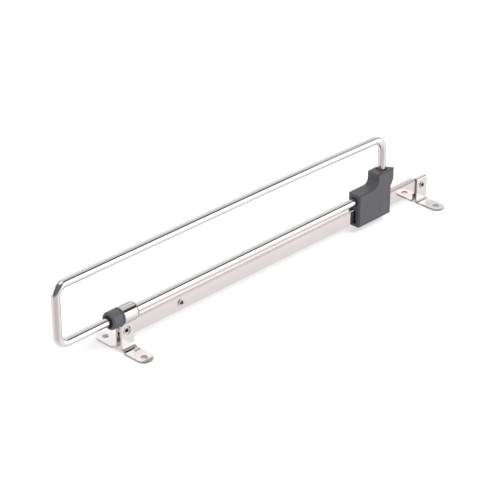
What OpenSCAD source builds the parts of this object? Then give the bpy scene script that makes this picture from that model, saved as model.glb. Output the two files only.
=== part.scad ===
// Pull-out hanging rail for trousers: a chromed wire loop on a plastic carriage that slides
// along a steel T rail. Two bent brackets hold the rail, and a plastic bush in the front
// bracket guides the wire. Modelled feet down, +Z up, with the pull-out end towards -Y.
// The origin is the middle of the footprint, on the plane under the feet. Millimetres.

/* [Wire loop] */
// Diameter of the round wire
wire_d = 8; // [6:0.5:9]
// Height of the loop between the middles of its long runs
loop_h = 57.8; // [45:0.2:120]
// How much longer the loop is than the pitch of the two brackets
loop_extra = 15; // [12:1:60]
// Radius of the two front bends at the middle of the wire
front_bend_r = 10; // [8:0.5:11]
// Radius of the bend above the carriage at the middle of the wire
rear_bend_r = 13; // [8:0.5:18]
// Height of the lower run's middle above the feet's underside
wire_z = 34.5; // [34:0.25:45]
// Chamfer on the two cut ends of the wire
wire_end_chamfer = 0.8; // [0.2:0.1:1.5]

/* [Rail] */
// Distance from the front mounting holes to the rear ones
bracket_pitch = 400; // [300:10:600]
// Thickness of the upright web
web_t = 2.4; // [2:0.1:3]
// Height of the web's lower edge above the feet's underside
web_z = 11.2; // [9.5:0.1:12]
// Height of the flange's top above the feet's underside
flange_z = 28; // [26.5:0.1:28.2]
// Width of the flange
flange_w = 6; // [5:0.1:7]
// Thickness of the flange
flange_t = 1.5; // [1:0.1:2]
// How far behind the bush's collar the web starts
web_setback = 0.4; // [0.3:0.1:1.5]
// Gap between the bush's rear end and the flange
front_flange_gap = 1.8; // [0.5:0.1:6]
// Gap between the flange and the rear bracket
rear_flange_gap = 3.5; // [2:0.1:6]

/* [Brackets] */
// Thickness of the bent strip
strip_t = 1.6; // [1.2:0.1:1.8]
// Width of the front bracket's feet
front_strip_w = 16.4; // [15:0.2:20]
// Width of the front bracket's strip where it wraps the bush
wrap_w = 15.2; // [10:0.2:16]
// How far the wrap runs past the rear edge of the front legs
wrap_overhang = 2.3; // [0.5:0.1:3]
// How far the front legs are set back behind the front edge of their feet
front_leg_setback = 1.4; // [0.2:0.1:2]
// Gap between each front leg and the web
front_leg_gap = 1.2; // [0.4:0.1:1.3]
// Diameter of the pressed dimple that brings each front leg onto the web
dimple_d = 9.2; // [9:0.1:10]
// Width of the rear bracket's strip
rear_strip_w = 15.6; // [14:0.2:20]
// Distance between the two front mounting holes
front_holes_w = 50.8; // [46:0.2:70]
// Distance between the two rear mounting holes
rear_holes_w = 43.8; // [42:0.2:70]
// How far the middle of a rear foot's round end lies outside its mounting hole
rear_foot_extra = 0.9; // [0:0.1:2]
// Diameter of the mounting holes
hole_d = 6; // [3.5:0.1:8]
// Inside radius of the front bends from leg to foot
front_foot_bend_r = 4.4; // [3:0.1:6]
// Inside radius of the rear bends from leg to foot
rear_foot_bend_r = 2.2; // [1.5:0.1:4]
// Height of the rear bracket's flat top
rear_top_z = 26.8; // [25.5:0.1:30]
// Inside radius of the bends beside that top
rear_top_bend_r = 0.4; // [0.2:0.1:0.9]

/* [Guide bush] */
// Outside diameter of the collar before the bracket
collar_d = 17; // [15.6:0.1:17.4]
// Length of the collar
collar_l = 13.4; // [8:0.1:14]
// Outside diameter of the sleeve inside the bracket's wrap
sleeve_d = 13.2; // [12:0.1:14]
// Depth of the funnel at the collar's mouth
mouth_depth = 4.6; // [2:0.1:6]
// Diameter of the funnel at the collar's face
mouth_d = 12; // [10.5:0.1:12.6]
// Radius of the collar's rounded front rim
collar_round = 1.8; // [1:0.1:2]
// Distance between the collar's groove and the bracket
groove_from_rear = 2.6; // [2:0.1:4]
// Width of the groove round the collar
groove_w = 0.7; // [0.4:0.1:1]
// Depth of the groove round the collar
groove_depth = 0.4; // [0.2:0.05:0.6]
// Length of the snap lip behind the bracket
lip_l = 1.4; // [0.8:0.1:1.6]
// How far the snap lip stands out past the sleeve
lip_step = 1; // [0.3:0.1:1.2]

/* [Carriage] */
// Width of the carriage across the rail
carriage_w = 14; // [13.4:0.2:18]
// Length of the carriage's lower body
carriage_l = 46.4; // [40:0.1:60]
// Height of the carriage's underside above the feet's underside
carriage_z = 8.2; // [6:0.1:9]
// Thickness of the carriage above the lower wire
wire_cover_t = 4.5; // [3:0.1:6]
// Length of the tower that holds the rear leg
tower_l = 23.3; // [20:0.1:26]
// Height of the tower above the body
tower_h = 13.5; // [11:0.1:20]
// How far the tower overhangs the body at the rear
tower_overhang = 3.7; // [3:0.1:5.6]
// Distance from the tower's rear face to the middle of the rear leg
leg_inset = 10.9; // [9.6:0.1:12]
// Height of the tower's upright rear face
tower_rear_h = 12.2; // [6:0.1:13]
// Height of the slope under the overhang
overhang_slope_h = 7.1; // [4:0.1:9]
// Radius of the hollow between body and tower
tower_fillet_r = 6.5; // [3:0.1:8]
// Radius of the tower's upright front corners
tower_corner_r = 1; // [0.6:0.1:3]
// Length of the slanting cut at the tower's left rear corner
corner_cut_l = 8.9; // [4:0.1:9]
// Width of the slanting cut at the tower's left rear corner
corner_cut_w = 13.4; // [8:0.1:13.6]
// How far the raised side panels stand out
panel_rise = 0.5; // [0.3:0.05:0.8]
// Width of the border round the raised side panels
panel_border = 1.4; // [1:0.1:2.5]
// Diameter of the recess round the wire in the front face
front_recess_d = 11.6; // [10.5:0.1:12]
// Depth of the recesses in the front face
front_recess_depth = 3; // [1:0.1:5]
// Width of the recess round the rail's web in the front face
web_recess_w = 4.6; // [3.6:0.1:9]
// Diameter of the countersink round the rear leg in the tower's top
top_recess_d = 10.4; // [9.6:0.1:11]
// Depth of the countersink round the rear leg
top_recess_depth = 1.6; // [1:0.1:3]
// Width of the clamping slit in the tower
slit_w = 1.2; // [0.8:0.1:1.6]
// Depth of the clamping slit from the tower's top
slit_depth = 9; // [5:0.5:10]

/* [Rivets and pins] */
// Diameter of the rivets' shanks
rivet_d = 4.2; // [3:0.1:5]
// Diameter of the bore through the rivets
rivet_bore = 2.8; // [1.5:0.1:3.2]
// Diameter of the rolled heads of the bracket rivets
rivet_head_d = 7; // [6:0.1:7.2]
// Diameter of the rolled heads of the stop rivet
stop_head_d = 7.6; // [7:0.1:9]
// Thickness of the rolled heads
rivet_head_t = 0.9; // [0.6:0.1:1.2]
// Diameter of the flare in which the bore of each rivet ends
rivet_mouth_d = 4.6; // [3.4:0.1:5]
// Height of the front bracket's rivet
front_rivet_z = 19.4; // [16:0.1:22]
// Height of the rear bracket's rivet
rear_rivet_z = 18.5; // [16:0.1:22]
// Height of the stop rivet
stop_rivet_z = 18.7; // [16:0.1:21]
// Distance from the front mounting holes to the stop rivet
stop_from_holes = 68; // [30:1:120]
// Diameter of the spring pins that lock the wire's ends
pin_d = 3; // [2:0.1:3.5]
// Bore of the spring pins
pin_bore = 1.4; // [0.8:0.1:1.6]
// Height of the slope round the pins' ends
pin_chamfer = 0.4; // [0.2:0.1:0.5]
// Distance from the lower wire's cut end to its pin
lower_pin_from_end = 9; // [6:0.5:14]
// Distance from the rear leg's cut end to its pin
rear_pin_from_end = 5; // [4.5:0.1:8]

/* [Fits and rest position] */
// Gap between the carriage's body and the rear bracket at rest
rest_gap = 45; // [30:0.1:120]
// Gap all round between the rail and the carriage that slides on it
slide_gap = 0.2; // [0.1:0.05:0.4]
// Gap all round between the wire and the bush that it slides in
wire_gap = 0.1; // [0.05:0.05:0.15]
// Gap all round between parts that are fixed together
fit_gap = 0.05; // [0.02:0.01:0.1]

/* [Hidden] */
$fn = 64;

// How far every cut runs past what it cuts
overrun = 1;

// Places along the rail, from the loop's front face to the rear feet
wire_r = wire_d / 2;
loop_l = bracket_pitch + loop_extra;
leg_to_rear_holes = rear_strip_w / 2 + rest_gap - tower_overhang + leg_inset;
front_leg_to_front_holes = loop_l + leg_to_rear_holes - bracket_pitch;
overall_l = wire_r + front_leg_to_front_holes + bracket_pitch + rear_strip_w / 2;
front_leg_y = wire_r - overall_l / 2;
front_y = front_leg_y + front_leg_to_front_holes;
rear_y = front_y + bracket_pitch;
rear_leg_y = front_leg_y + loop_l;
stop_y = front_y + stop_from_holes;

// Places of the carriage
body_rear_y = rear_y - rear_strip_w / 2 - rest_gap;
body_front_y = body_rear_y - carriage_l;
tower_rear_y = body_rear_y + tower_overhang;
tower_front_y = tower_rear_y - tower_l;
body_top_z = wire_z + wire_r + wire_cover_t;
tower_top_z = body_top_z + tower_h;

// Heights of the loop
upper_z = wire_z + loop_h;

// The wire's two cut ends, inside the carriage
end_wall = 1.6;
lower_end_y = rear_leg_y - wire_r - end_wall;
rear_end_z = flange_z + slide_gap + end_wall;
lower_pin_y = lower_end_y - lower_pin_from_end;
rear_pin_z = rear_end_z + rear_pin_from_end;

// Pins go in from the -X side, and stop short of the +X face
pin_stop_x = wire_r + (carriage_w / 2 - wire_r) / 2;
pin_l = pin_stop_x + carriage_w / 2 - panel_rise;

// Legs of both brackets, and the wrap of the front one
rear_leg_in_x = web_t / 2;
front_leg_in_x = rear_leg_in_x + front_leg_gap;
rivet_stack = web_t + 2 * strip_t;
dimple_clearance = 0.3;
wrap_in_r = sleeve_d / 2 + fit_gap;
wrap_out_r = wrap_in_r + strip_t;
web_top_z = flange_z - flange_t;
rear_leg_top_z = rear_top_z - strip_t - rear_top_bend_r;

// Neck between wrap and legs, tangent to both. The wrap ends three across to four down, so
// that every place of the joint is a round number.
neck_across = 3 / 5;
neck_down = 4 / 5;
neck_r = (wrap_out_r * neck_across - front_leg_in_x - strip_t) / (1 - neck_across);
neck_x = front_leg_in_x + strip_t + neck_r;
neck_z = wire_z - (wrap_out_r + neck_r) * neck_down;

// Places of the wrap and of the bush in it
wrap_shift = (front_strip_w - wrap_w) / 2 + wrap_overhang;
collar_rear_y = front_y + wrap_shift - wrap_w / 2;
collar_front_y = collar_rear_y - collar_l;
bush_rear_y = collar_rear_y + wrap_w + lip_l;

// A sketch drawn in X and Y stands up across the rail, or along it
module across_rail() rotate([90, 0, 0]) children();
module along_rail() rotate([90, 0, 90]) children();

// A round bar along +Y from its near end
module bar_y(r, l) rotate([-90, 0, 0]) cylinder(r = r, h = l);

// A round bar along X, in the middle of the rail
module bar_x(r, l) rotate([0, 90, 0]) cylinder(r = r, h = l, center = true);

// A box given by its lowest and highest corners
module box(low, high) translate(low) cube(high - low);

// A strip bent round an axis along Y, between two angles measured from +X
module bent_strip(r, t, w, from, to)
    across_rail()
        rotate([0, 0, from])
            rotate_extrude(angle = to - from)
                translate([r, -w / 2]) square([t, w]);

// A quarter bend of strip in the top of the rear bracket, on the +X side
module rear_top_bend()
    translate([rear_leg_in_x - rear_top_bend_r, 0, rear_leg_top_z])
        bent_strip(rear_top_bend_r, strip_t, rear_strip_w, 0, 90);

// A full ring of strip round an axis along Y
module strip_ring(r, w)
    across_rail() rotate_extrude() translate([r, -w / 2]) square([strip_t, w]);

// A three-cornered block along Y, wide enough to take in a whole strip ring
module wedge(w, corners)
    across_rail() linear_extrude(height = w + 2 * overrun, center = true) polygon(corners);

// A quarter turn of wire in the plane of the loop
module wire_corner(y, z, r, from)
    translate([0, y, z]) along_rail()
        rotate([0, 0, from])
            rotate_extrude(angle = 90)
                translate([r, 0]) circle(r = wire_r);

// One straight leg and its foot, shared by both brackets, on the +X side. The leg can be set
// back behind the foot's front edge.
module leg_and_foot(in_x, w, setback, end_x, bend_r, leg_top_z) {
    bend_x = in_x + strip_t + bend_r;
    bend_z = strip_t + bend_r;
    box([in_x, setback - w / 2, bend_z], [in_x + strip_t, w / 2, leg_top_z]);
    translate([bend_x, setback / 2, bend_z])
        bent_strip(bend_r, strip_t, w - setback, 180, 270);
    box([bend_x, -w / 2, 0], [end_x, w / 2, strip_t]);
    translate([end_x, 0, 0]) cylinder(r = w / 2, h = strip_t);
}

// A bracket from its top (first child) and its +X side (second child), with its foot holes
// and its rivet hole cut through
module two_legged_bracket(hole_x, rivet_z) {
    difference() {
        union() {
            children(0);
            children(1);
            mirror([1, 0, 0]) children(1);
        }
        for (side = [-1, 1])
            translate([side * hole_x, 0, -overrun])
                cylinder(d = hole_d, h = strip_t + 2 * overrun);
        translate([0, 0, rivet_z])
            bar_x(rivet_d / 2 + fit_gap, rivet_stack + 2 * (front_leg_gap + overrun));
    }
}

// Turned about X at the rivet: the dimple's boss on the web, or the hollow in the leg's face
module front_leg_turned(from_x, to_x, from_r, to_r)
    translate([from_x, 0, front_rivet_z]) rotate([0, 90, 0])
        cylinder(r1 = from_r, r2 = to_r, h = to_x - from_x);

// Front leg with its dimple pressed in
module dimpled_leg() {
    hollow_r = rivet_head_d / 2 + dimple_clearance;
    leg_out_x = front_leg_in_x + strip_t;
    difference() {
        union() {
            leg_and_foot(front_leg_in_x, front_strip_w, front_leg_setback, front_holes_w / 2,
                front_foot_bend_r, neck_z);
            front_leg_turned(rear_leg_in_x, front_leg_in_x + strip_t / 2, dimple_d / 2,
                dimple_d / 2);
        }
        front_leg_turned(leg_out_x - front_leg_gap, leg_out_x + overrun, hollow_r,
            hollow_r + (front_leg_gap + overrun) / 2);
    }
}

// Strip wrapped round the bush, drawn in to two legs on the web, with a foot each side
module front_bracket() {
    reach = 2 * wrap_out_r;
    color("gainsboro") translate([0, front_y, 0])
        two_legged_bracket(front_holes_w / 2, front_rivet_z) {
            translate([0, wrap_shift, wire_z]) difference() {
                strip_ring(wrap_in_r, wrap_w);
                wedge(wrap_w, [[0, 0], -reach * [neck_across, neck_down],
                    reach * [neck_across, -neck_down]]);
            }
            union() {
                translate([neck_x, wrap_shift, neck_z]) intersection() {
                    strip_ring(neck_r, wrap_w);
                    wedge(wrap_w, [[0, 0], reach * [-neck_across, neck_down], [-reach, 0]]);
                }
                dimpled_leg();
            }
        }
}

// Strip folded over the web's rear end, with a foot each side
module rear_bracket() {
    color("gainsboro") translate([0, rear_y, 0])
        two_legged_bracket(rear_holes_w / 2, rear_rivet_z) {
            box([rear_top_bend_r - rear_leg_in_x, -rear_strip_w / 2, rear_top_z - strip_t],
                [rear_leg_in_x - rear_top_bend_r, rear_strip_w / 2, rear_top_z]);
            union() {
                rear_top_bend();
                leg_and_foot(rear_leg_in_x, rear_strip_w, 0, rear_holes_w / 2 + rear_foot_extra,
                    rear_foot_bend_r, rear_leg_top_z);
            }
        }
}

// Upright web from bracket to bracket, with a flange between them that carries the carriage.
// The web is notched down under the rear bracket's top.
module rail() {
    flange_rear_y = rear_y - rear_strip_w / 2 - rear_flange_gap;
    color("silver") difference() {
        union() {
            box([-web_t / 2, collar_rear_y + web_setback, web_z],
                [web_t / 2, rear_y + rear_strip_w / 2, web_top_z]);
            box([-flange_w / 2, bush_rear_y + front_flange_gap, web_top_z],
                [flange_w / 2, flange_rear_y, flange_z]);
        }
        box([-web_t / 2 - overrun, flange_rear_y + rear_flange_gap / 2, rear_leg_top_z],
            [web_t / 2 + overrun, rear_y + rear_strip_w / 2 + overrun, flange_z]);
        rail_rivet_hole(front_y, front_rivet_z);
        rail_rivet_hole(rear_y, rear_rivet_z);
        rail_rivet_hole(stop_y, stop_rivet_z);
    }
}

module rail_rivet_hole(y, z)
    translate([0, y, z]) bar_x(rivet_d / 2 + fit_gap, web_t + 2 * overrun);

// Tubular rivet with a rolled head each side, for a stack of the given thickness
module tubular_rivet(y, z, stack, head_d) {
    roll = rivet_head_t / 2;
    color("lightgray") translate([0, y, z]) rotate([0, 90, 0]) difference() {
        union() {
            cylinder(d = rivet_d, h = stack + 2 * rivet_head_t, center = true);
            for (side = [0, 1])
                mirror([0, 0, side]) translate([0, 0, stack / 2])
                    rotate_extrude() polygon([[0, 0], [head_d / 2, 0], [head_d / 2, roll],
                        [head_d / 2 - roll, rivet_head_t], [0, rivet_head_t]]);
        }
        cylinder(d = rivet_bore, h = stack + 2 * rivet_head_t + 2 * overrun, center = true);
        for (side = [0, 1])
            mirror([0, 0, side]) translate([0, 0, stack / 2])
                cylinder(d1 = rivet_bore, d2 = rivet_mouth_d, h = rivet_head_t);
    }
}

module front_bracket_rivet() tubular_rivet(front_y, front_rivet_z, rivet_stack, rivet_head_d);
module rear_bracket_rivet() tubular_rivet(rear_y, rear_rivet_z, rivet_stack, rivet_head_d);
module stop_rivet() tubular_rivet(stop_y, stop_rivet_z, web_t, stop_head_d);

// Turned section of the bush: radius against the distance behind the collar's face
module bush_section() {
    bore_r = wire_r + wire_gap;
    mouth_bend_share = 0.6;
    groove_y = collar_l - groove_from_rear;
    difference() {
        union() {
            square([collar_d / 2 - collar_round, collar_l]);
            translate([0, collar_round]) square([collar_d / 2, collar_l - collar_round]);
            translate([collar_d / 2 - collar_round, collar_round]) circle(r = collar_round);
            translate([0, collar_l]) square([sleeve_d / 2, wrap_w]);
            translate([0, collar_l + wrap_w]) polygon([[0, 0], [sleeve_d / 2 + lip_step, 0],
                [sleeve_d / 2 + lip_step, lip_l / 2], [sleeve_d / 2, lip_l], [0, lip_l]]);
        }
        translate([0, -overrun])
            square([bore_r, collar_l + wrap_w + lip_l + 2 * overrun]);
        polygon([[0, -overrun], [mouth_d / 2, -overrun], [mouth_d / 2, 0],
            [(mouth_d / 2 + bore_r) / 2, mouth_depth * mouth_bend_share], [bore_r, mouth_depth],
            [0, mouth_depth]]);
        translate([collar_d / 2 - groove_depth, groove_y])
            square([groove_depth + overrun, groove_w]);
    }
}

// Moulded bush: a collar before the bracket, a sleeve through its wrap and a snap lip behind
module guide_bush()
    color([0.2, 0.2, 0.22]) translate([0, collar_front_y, wire_z])
        rotate([-90, 0, 0]) rotate_extrude() bush_section();

// One bent wire: lower run, front leg, upper run and rear leg, with both ends in the carriage
module wire_loop() {
    front_bend_y = front_leg_y + front_bend_r;
    rear_bend_y = rear_leg_y - rear_bend_r;
    low_bend_z = wire_z + front_bend_r;
    high_bend_z = upper_z - front_bend_r;
    rear_bend_z = upper_z - rear_bend_r;
    color("whitesmoke") difference() {
        union() {
            translate([0, front_bend_y, wire_z])
                bar_y(wire_r, lower_end_y - wire_end_chamfer - front_bend_y);
            translate([0, lower_end_y - wire_end_chamfer, wire_z]) rotate([-90, 0, 0])
                cylinder(r1 = wire_r, r2 = wire_r - wire_end_chamfer, h = wire_end_chamfer);
            wire_corner(front_bend_y, low_bend_z, front_bend_r, 180);
            translate([0, front_leg_y, low_bend_z])
                cylinder(r = wire_r, h = high_bend_z - low_bend_z);
            wire_corner(front_bend_y, high_bend_z, front_bend_r, 90);
            translate([0, front_bend_y, upper_z]) bar_y(wire_r, rear_bend_y - front_bend_y);
            wire_corner(rear_bend_y, rear_bend_z, rear_bend_r, 0);
            translate([0, rear_leg_y, rear_end_z + wire_end_chamfer])
                cylinder(r = wire_r, h = rear_bend_z - rear_end_z - wire_end_chamfer);
            translate([0, rear_leg_y, rear_end_z])
                cylinder(r1 = wire_r - wire_end_chamfer, r2 = wire_r, h = wire_end_chamfer);
        }
        pin_hole(lower_pin_y, wire_z);
        pin_hole(rear_leg_y, rear_pin_z);
    }
}

module pin_hole(y, z) translate([0, y, z]) bar_x(pin_d / 2 + fit_gap, wire_d + 2 * overrun);

// Blind hole for a pin, from the -X side
module carriage_pin_hole(y, z)
    translate([-carriage_w / 2 - overrun, y, z]) rotate([0, 90, 0])
        cylinder(r = pin_d / 2 + fit_gap, h = carriage_w / 2 + overrun + pin_stop_x + fit_gap);

module spring_pin(y, z) {
    color("dimgray") translate([pin_stop_x - pin_l, y, z]) rotate([0, 90, 0]) difference() {
        rotate_extrude() polygon([[0, 0], [pin_d / 2 - pin_chamfer, 0], [pin_d / 2, pin_chamfer],
            [pin_d / 2, pin_l - pin_chamfer], [pin_d / 2 - pin_chamfer, pin_l], [0, pin_l]]);
        translate([0, 0, -overrun]) cylinder(d = pin_bore, h = pin_l + 2 * overrun);
    }
}

module lower_wire_pin() spring_pin(lower_pin_y, wire_z);
module rear_wire_pin() spring_pin(rear_leg_y, rear_pin_z);

// Side view of the carriage, drawn in by a border on every side
module carriage_side(border) {
    overhang_z = tower_top_z - tower_rear_h;
    slope_z = overhang_z - overhang_slope_h;
    polygon([[body_front_y + border, carriage_z + border],
        [body_rear_y - border, carriage_z + border],
        [body_rear_y - border, slope_z],
        [tower_rear_y - border, overhang_z],
        [tower_rear_y - border, tower_top_z - border],
        [tower_front_y + border, tower_top_z - border],
        [tower_front_y + border, body_top_z - border],
        [body_front_y + border, body_top_z - border]]);
}

// Hollow quarter round that leads the body's top up into the tower's front
module tower_hollow(w) {
    r = tower_fillet_r;
    difference() {
        box([-w / 2, tower_front_y - r, body_top_z - overrun],
            [w / 2, tower_front_y + overrun, body_top_z + r]);
        translate([0, tower_front_y - r, body_top_z + r]) bar_x(r, w + 2 * overrun);
        box([-w / 2 - overrun, tower_front_y - r - overrun, body_top_z - 2 * overrun],
            [w / 2 + overrun, tower_front_y - r, body_top_z + r + overrun]);
    }
}

// What rounds off one upright front corner of the tower
module tower_corner_cut(side) {
    r = tower_corner_r;
    core_w = carriage_w - 2 * panel_rise;
    low_z = body_top_z + tower_fillet_r;
    translate([side * (core_w / 2 - r), tower_front_y + r, low_z]) difference() {
        box([side > 0 ? 0 : -r - overrun, -r - overrun, 0],
            [side > 0 ? r + overrun : 0, 0, tower_h]);
        translate([0, 0, -overrun]) cylinder(r = r, h = tower_h + 2 * overrun);
    }
}

// What the slanting cut takes off the tower's left rear corner
module tower_corner_slant() {
    side_x = -carriage_w / 2;
    inner_x = side_x + corner_cut_w;
    front_edge_y = tower_rear_y - corner_cut_l;
    translate([0, 0, body_top_z]) linear_extrude(height = tower_h + overrun)
        polygon([[side_x, front_edge_y], [inner_x, tower_rear_y],
            [inner_x, tower_rear_y + overrun], [side_x - overrun, tower_rear_y + overrun],
            [side_x - overrun, front_edge_y]]);
}

// Moulded carriage: a body that runs on the flange, and a tower that holds the rear leg
module carriage() {
    core_w = carriage_w - 2 * panel_rise;
    wire_fit_r = wire_r + fit_gap;
    slot_low_z = web_top_z - slide_gap;
    slot_floor_z = web_z - slide_gap;
    color([0.24, 0.24, 0.26]) difference() {
        union() {
            along_rail() linear_extrude(height = core_w, center = true) carriage_side(0);
            along_rail() linear_extrude(height = carriage_w, center = true)
                carriage_side(panel_border);
            tower_hollow(core_w);
        }
        for (side = [-1, 1]) tower_corner_cut(side);
        tower_corner_slant();

        // Slot for the rail: wide for the flange, narrow for the web, closed below
        box([-flange_w / 2 - slide_gap, body_front_y - overrun, slot_low_z],
            [flange_w / 2 + slide_gap, tower_rear_y + overrun, flange_z + slide_gap]);
        box([-web_t / 2 - slide_gap, body_front_y - overrun, slot_floor_z],
            [web_t / 2 + slide_gap, tower_rear_y + overrun, flange_z]);

        // Recesses in the front face, round the wire and round the web
        translate([0, body_front_y - overrun, wire_z])
            bar_y(front_recess_d / 2, front_recess_depth + overrun);
        box([-web_recess_w / 2, body_front_y - overrun, slot_floor_z],
            [web_recess_w / 2, body_front_y + front_recess_depth, slot_low_z - end_wall]);

        // Blind bore for the lower run, and blind bore for the rear leg with its countersink
        translate([0, body_front_y - overrun, wire_z])
            bar_y(wire_fit_r, lower_end_y + fit_gap - body_front_y + overrun);
        translate([0, rear_leg_y, rear_end_z - fit_gap])
            cylinder(r = wire_fit_r, h = tower_top_z + overrun - rear_end_z);
        translate([0, rear_leg_y, tower_top_z - top_recess_depth])
            cylinder(r1 = wire_fit_r, r2 = top_recess_d / 2, h = top_recess_depth);

        // Slit that lets the tower's top spring round the leg
        box([-carriage_w / 2 - overrun, rear_leg_y - slit_w / 2, tower_top_z - slit_depth],
            [0, rear_leg_y + slit_w / 2, tower_top_z + overrun]);

        carriage_pin_hole(lower_pin_y, wire_z);
        carriage_pin_hole(rear_leg_y, rear_pin_z);
    }
}

rail();
front_bracket();
rear_bracket();
guide_bush();
front_bracket_rivet();
rear_bracket_rivet();
stop_rivet();
wire_loop();
carriage();
lower_wire_pin();
rear_wire_pin();
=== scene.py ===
"""Pull-out hanging rail for trousers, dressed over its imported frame.

A bright chromed wire loop rides on a dark moulded carriage along a chromed T rail. Two bent
brackets carry the rail, and a moulded bush in the front one guides the wire. The classes work
in millimetres, and each mesh is brought to metres when it is finished.
"""
import logging
import math
from dataclasses import dataclass
from enum import Enum

import bmesh
import bpy
from mathutils import Matrix, Vector


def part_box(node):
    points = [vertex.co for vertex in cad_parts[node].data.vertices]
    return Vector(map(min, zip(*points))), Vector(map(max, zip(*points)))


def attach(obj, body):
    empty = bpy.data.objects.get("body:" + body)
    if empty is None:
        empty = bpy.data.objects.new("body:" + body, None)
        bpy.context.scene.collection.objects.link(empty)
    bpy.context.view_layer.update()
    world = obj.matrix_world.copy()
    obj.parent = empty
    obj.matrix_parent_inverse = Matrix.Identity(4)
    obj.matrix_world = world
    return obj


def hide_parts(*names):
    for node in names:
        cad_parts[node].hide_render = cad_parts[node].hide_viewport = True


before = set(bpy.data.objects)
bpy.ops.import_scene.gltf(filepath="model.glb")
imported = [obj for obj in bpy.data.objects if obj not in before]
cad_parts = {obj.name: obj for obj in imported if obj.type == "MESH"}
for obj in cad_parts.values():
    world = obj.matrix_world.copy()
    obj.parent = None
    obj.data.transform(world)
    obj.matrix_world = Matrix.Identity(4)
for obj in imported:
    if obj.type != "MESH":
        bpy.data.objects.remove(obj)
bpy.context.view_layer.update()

MM = 0.001
# Points closer than this are one point, in millimetres
WELD = 1e-4
FULL_TURN = 2 * math.pi
QUARTER_TURN = math.pi / 2
ACROSS, ALONG, UP = Vector((1, 0, 0)), Vector((0, 1, 0)), Vector((0, 0, 1))
# Facets of a bore, a shank or the wire
ROUND_FACETS = 48
# Face attribute: how much darker a face comes out, from 0 to 1: darker sheared edges, and painted
# shade in holes, bores, gaps and panel borders
DARKENED = "darkened"
# The range in which most values of a noise lie
NOISE_RANGE = (0.3, 0.7)
WHITE = (1, 1, 1, 1)
RIVETS = ("front_bracket_rivet", "rear_bracket_rivet", "stop_rivet")
PINS = ("lower_wire_pin", "rear_wire_pin")

Point = tuple[float, float]
Triple = tuple[float, float, float]
Edges = list[bmesh.types.BMEdge]
Faces = list[bmesh.types.BMFace]
Verts = list[bmesh.types.BMVert]
Socket = bpy.types.NodeSocket

log = logging.getLogger("hanging_rail")


class Body(Enum):
    """The two bodies of the fitting."""

    BASE = "base"
    SLIDER = "slider"


class Slot(Enum):
    """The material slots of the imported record."""

    WIRE = "chromed_wire"
    RAIL = "chromed_rail"
    STRIP = "chromed_strip"
    RIVET = "rivet_steel"
    PIN = "pin_steel"
    CARRIAGE = "carriage_plastic"
    BUSH = "bush_plastic"


class Grain(Enum):
    """The way in which a metal was drawn or rolled, as stretches along X, Y and Z."""

    ALONG_RAIL = (1.0, 0.03, 1.0)
    ROUND = (1.0, 1.0, 1.0)
    UPRIGHT = (1.0, 1.0, 0.08)


# Sizes and shop operations on meshes


@dataclass(frozen=True)
class Stock:
    """Sizes in which pieces meet, in millimetres."""

    web_t: float = 2.4
    flange_t: float = 1.5
    wrap_w: float = 15.2
    rivet_hole_d: float = 4.3
    slide_gap: float = 0.2
    end_wall: float = 1.6


STOCK = Stock()


@dataclass(frozen=True)
class Box:
    """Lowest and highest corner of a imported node, in millimetres."""

    low: Vector
    high: Vector

    @classmethod
    def of(cls, node: str) -> "Box":
        """Reads one node's box from the frame."""
        low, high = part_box(node)
        return cls(low / MM, high / MM)

    @property
    def middle(self) -> Vector:
        """The middle of the box."""
        return (self.low + self.high) / 2

    @property
    def size(self) -> Vector:
        """The box's three lengths."""
        return self.high - self.low


def wire_height() -> float:
    """Gives the height of the lower wire's middle, which runs through the bush."""
    return Box.of("guide_bush").middle.z


def held(value: float, high: float = 1) -> float:
    """Holds a value between zero and its highest."""
    return min(max(value, 0), high)


class Outline:
    """A flat outline of straight lines and arcs, drawn point by point."""

    def __init__(self, *points: Point) -> None:
        """Starts the outline with straight lines through the given points."""
        self.points: list[Point] = list(points)

    def to(self, *points: Point) -> "Outline":
        """Goes on with straight lines through the given points."""
        self.points.extend(points)
        return self

    def arc(self, centre: Point, radius: float, start: float, end: float,
            steps: int) -> "Outline":
        """Goes on with an arc.

        Args:
            centre: the arc's middle.
            radius: its radius.
            start: the angle of its first point, in degrees.
            end: the angle of its last point, in degrees.
            steps: how many chords it has.

        Returns:
            The outline itself.
        """
        for step in range(steps + 1):
            angle = math.radians(start + (end - start) * step / steps)
            self.points.append((centre[0] + radius * math.cos(angle),
                                centre[1] + radius * math.sin(angle)))
        return self

    def flare(self, pull: Point, end: Point, steps: int) -> "Outline":
        """Goes on with a curve that leaves towards one point and arrives at another.

        Args:
            pull: the point that draws the curve out.
            end: its last point.
            steps: how many chords it has.

        Returns:
            The outline itself.
        """
        start, middle, last = (Vector(point) for point in (self.points[-1], pull, end))
        for step in range(1, steps + 1):
            share = step / steps
            point = start.lerp(middle, share).lerp(middle.lerp(last, share), share)
            self.points.append((point.x, point.y))
        return self


def ends_of(edges: Edges) -> Verts:
    """Lists the vertices of some edges, each once and in the edges' order."""
    return list(dict.fromkeys(vert for edge in edges for vert in edge.verts))


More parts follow.
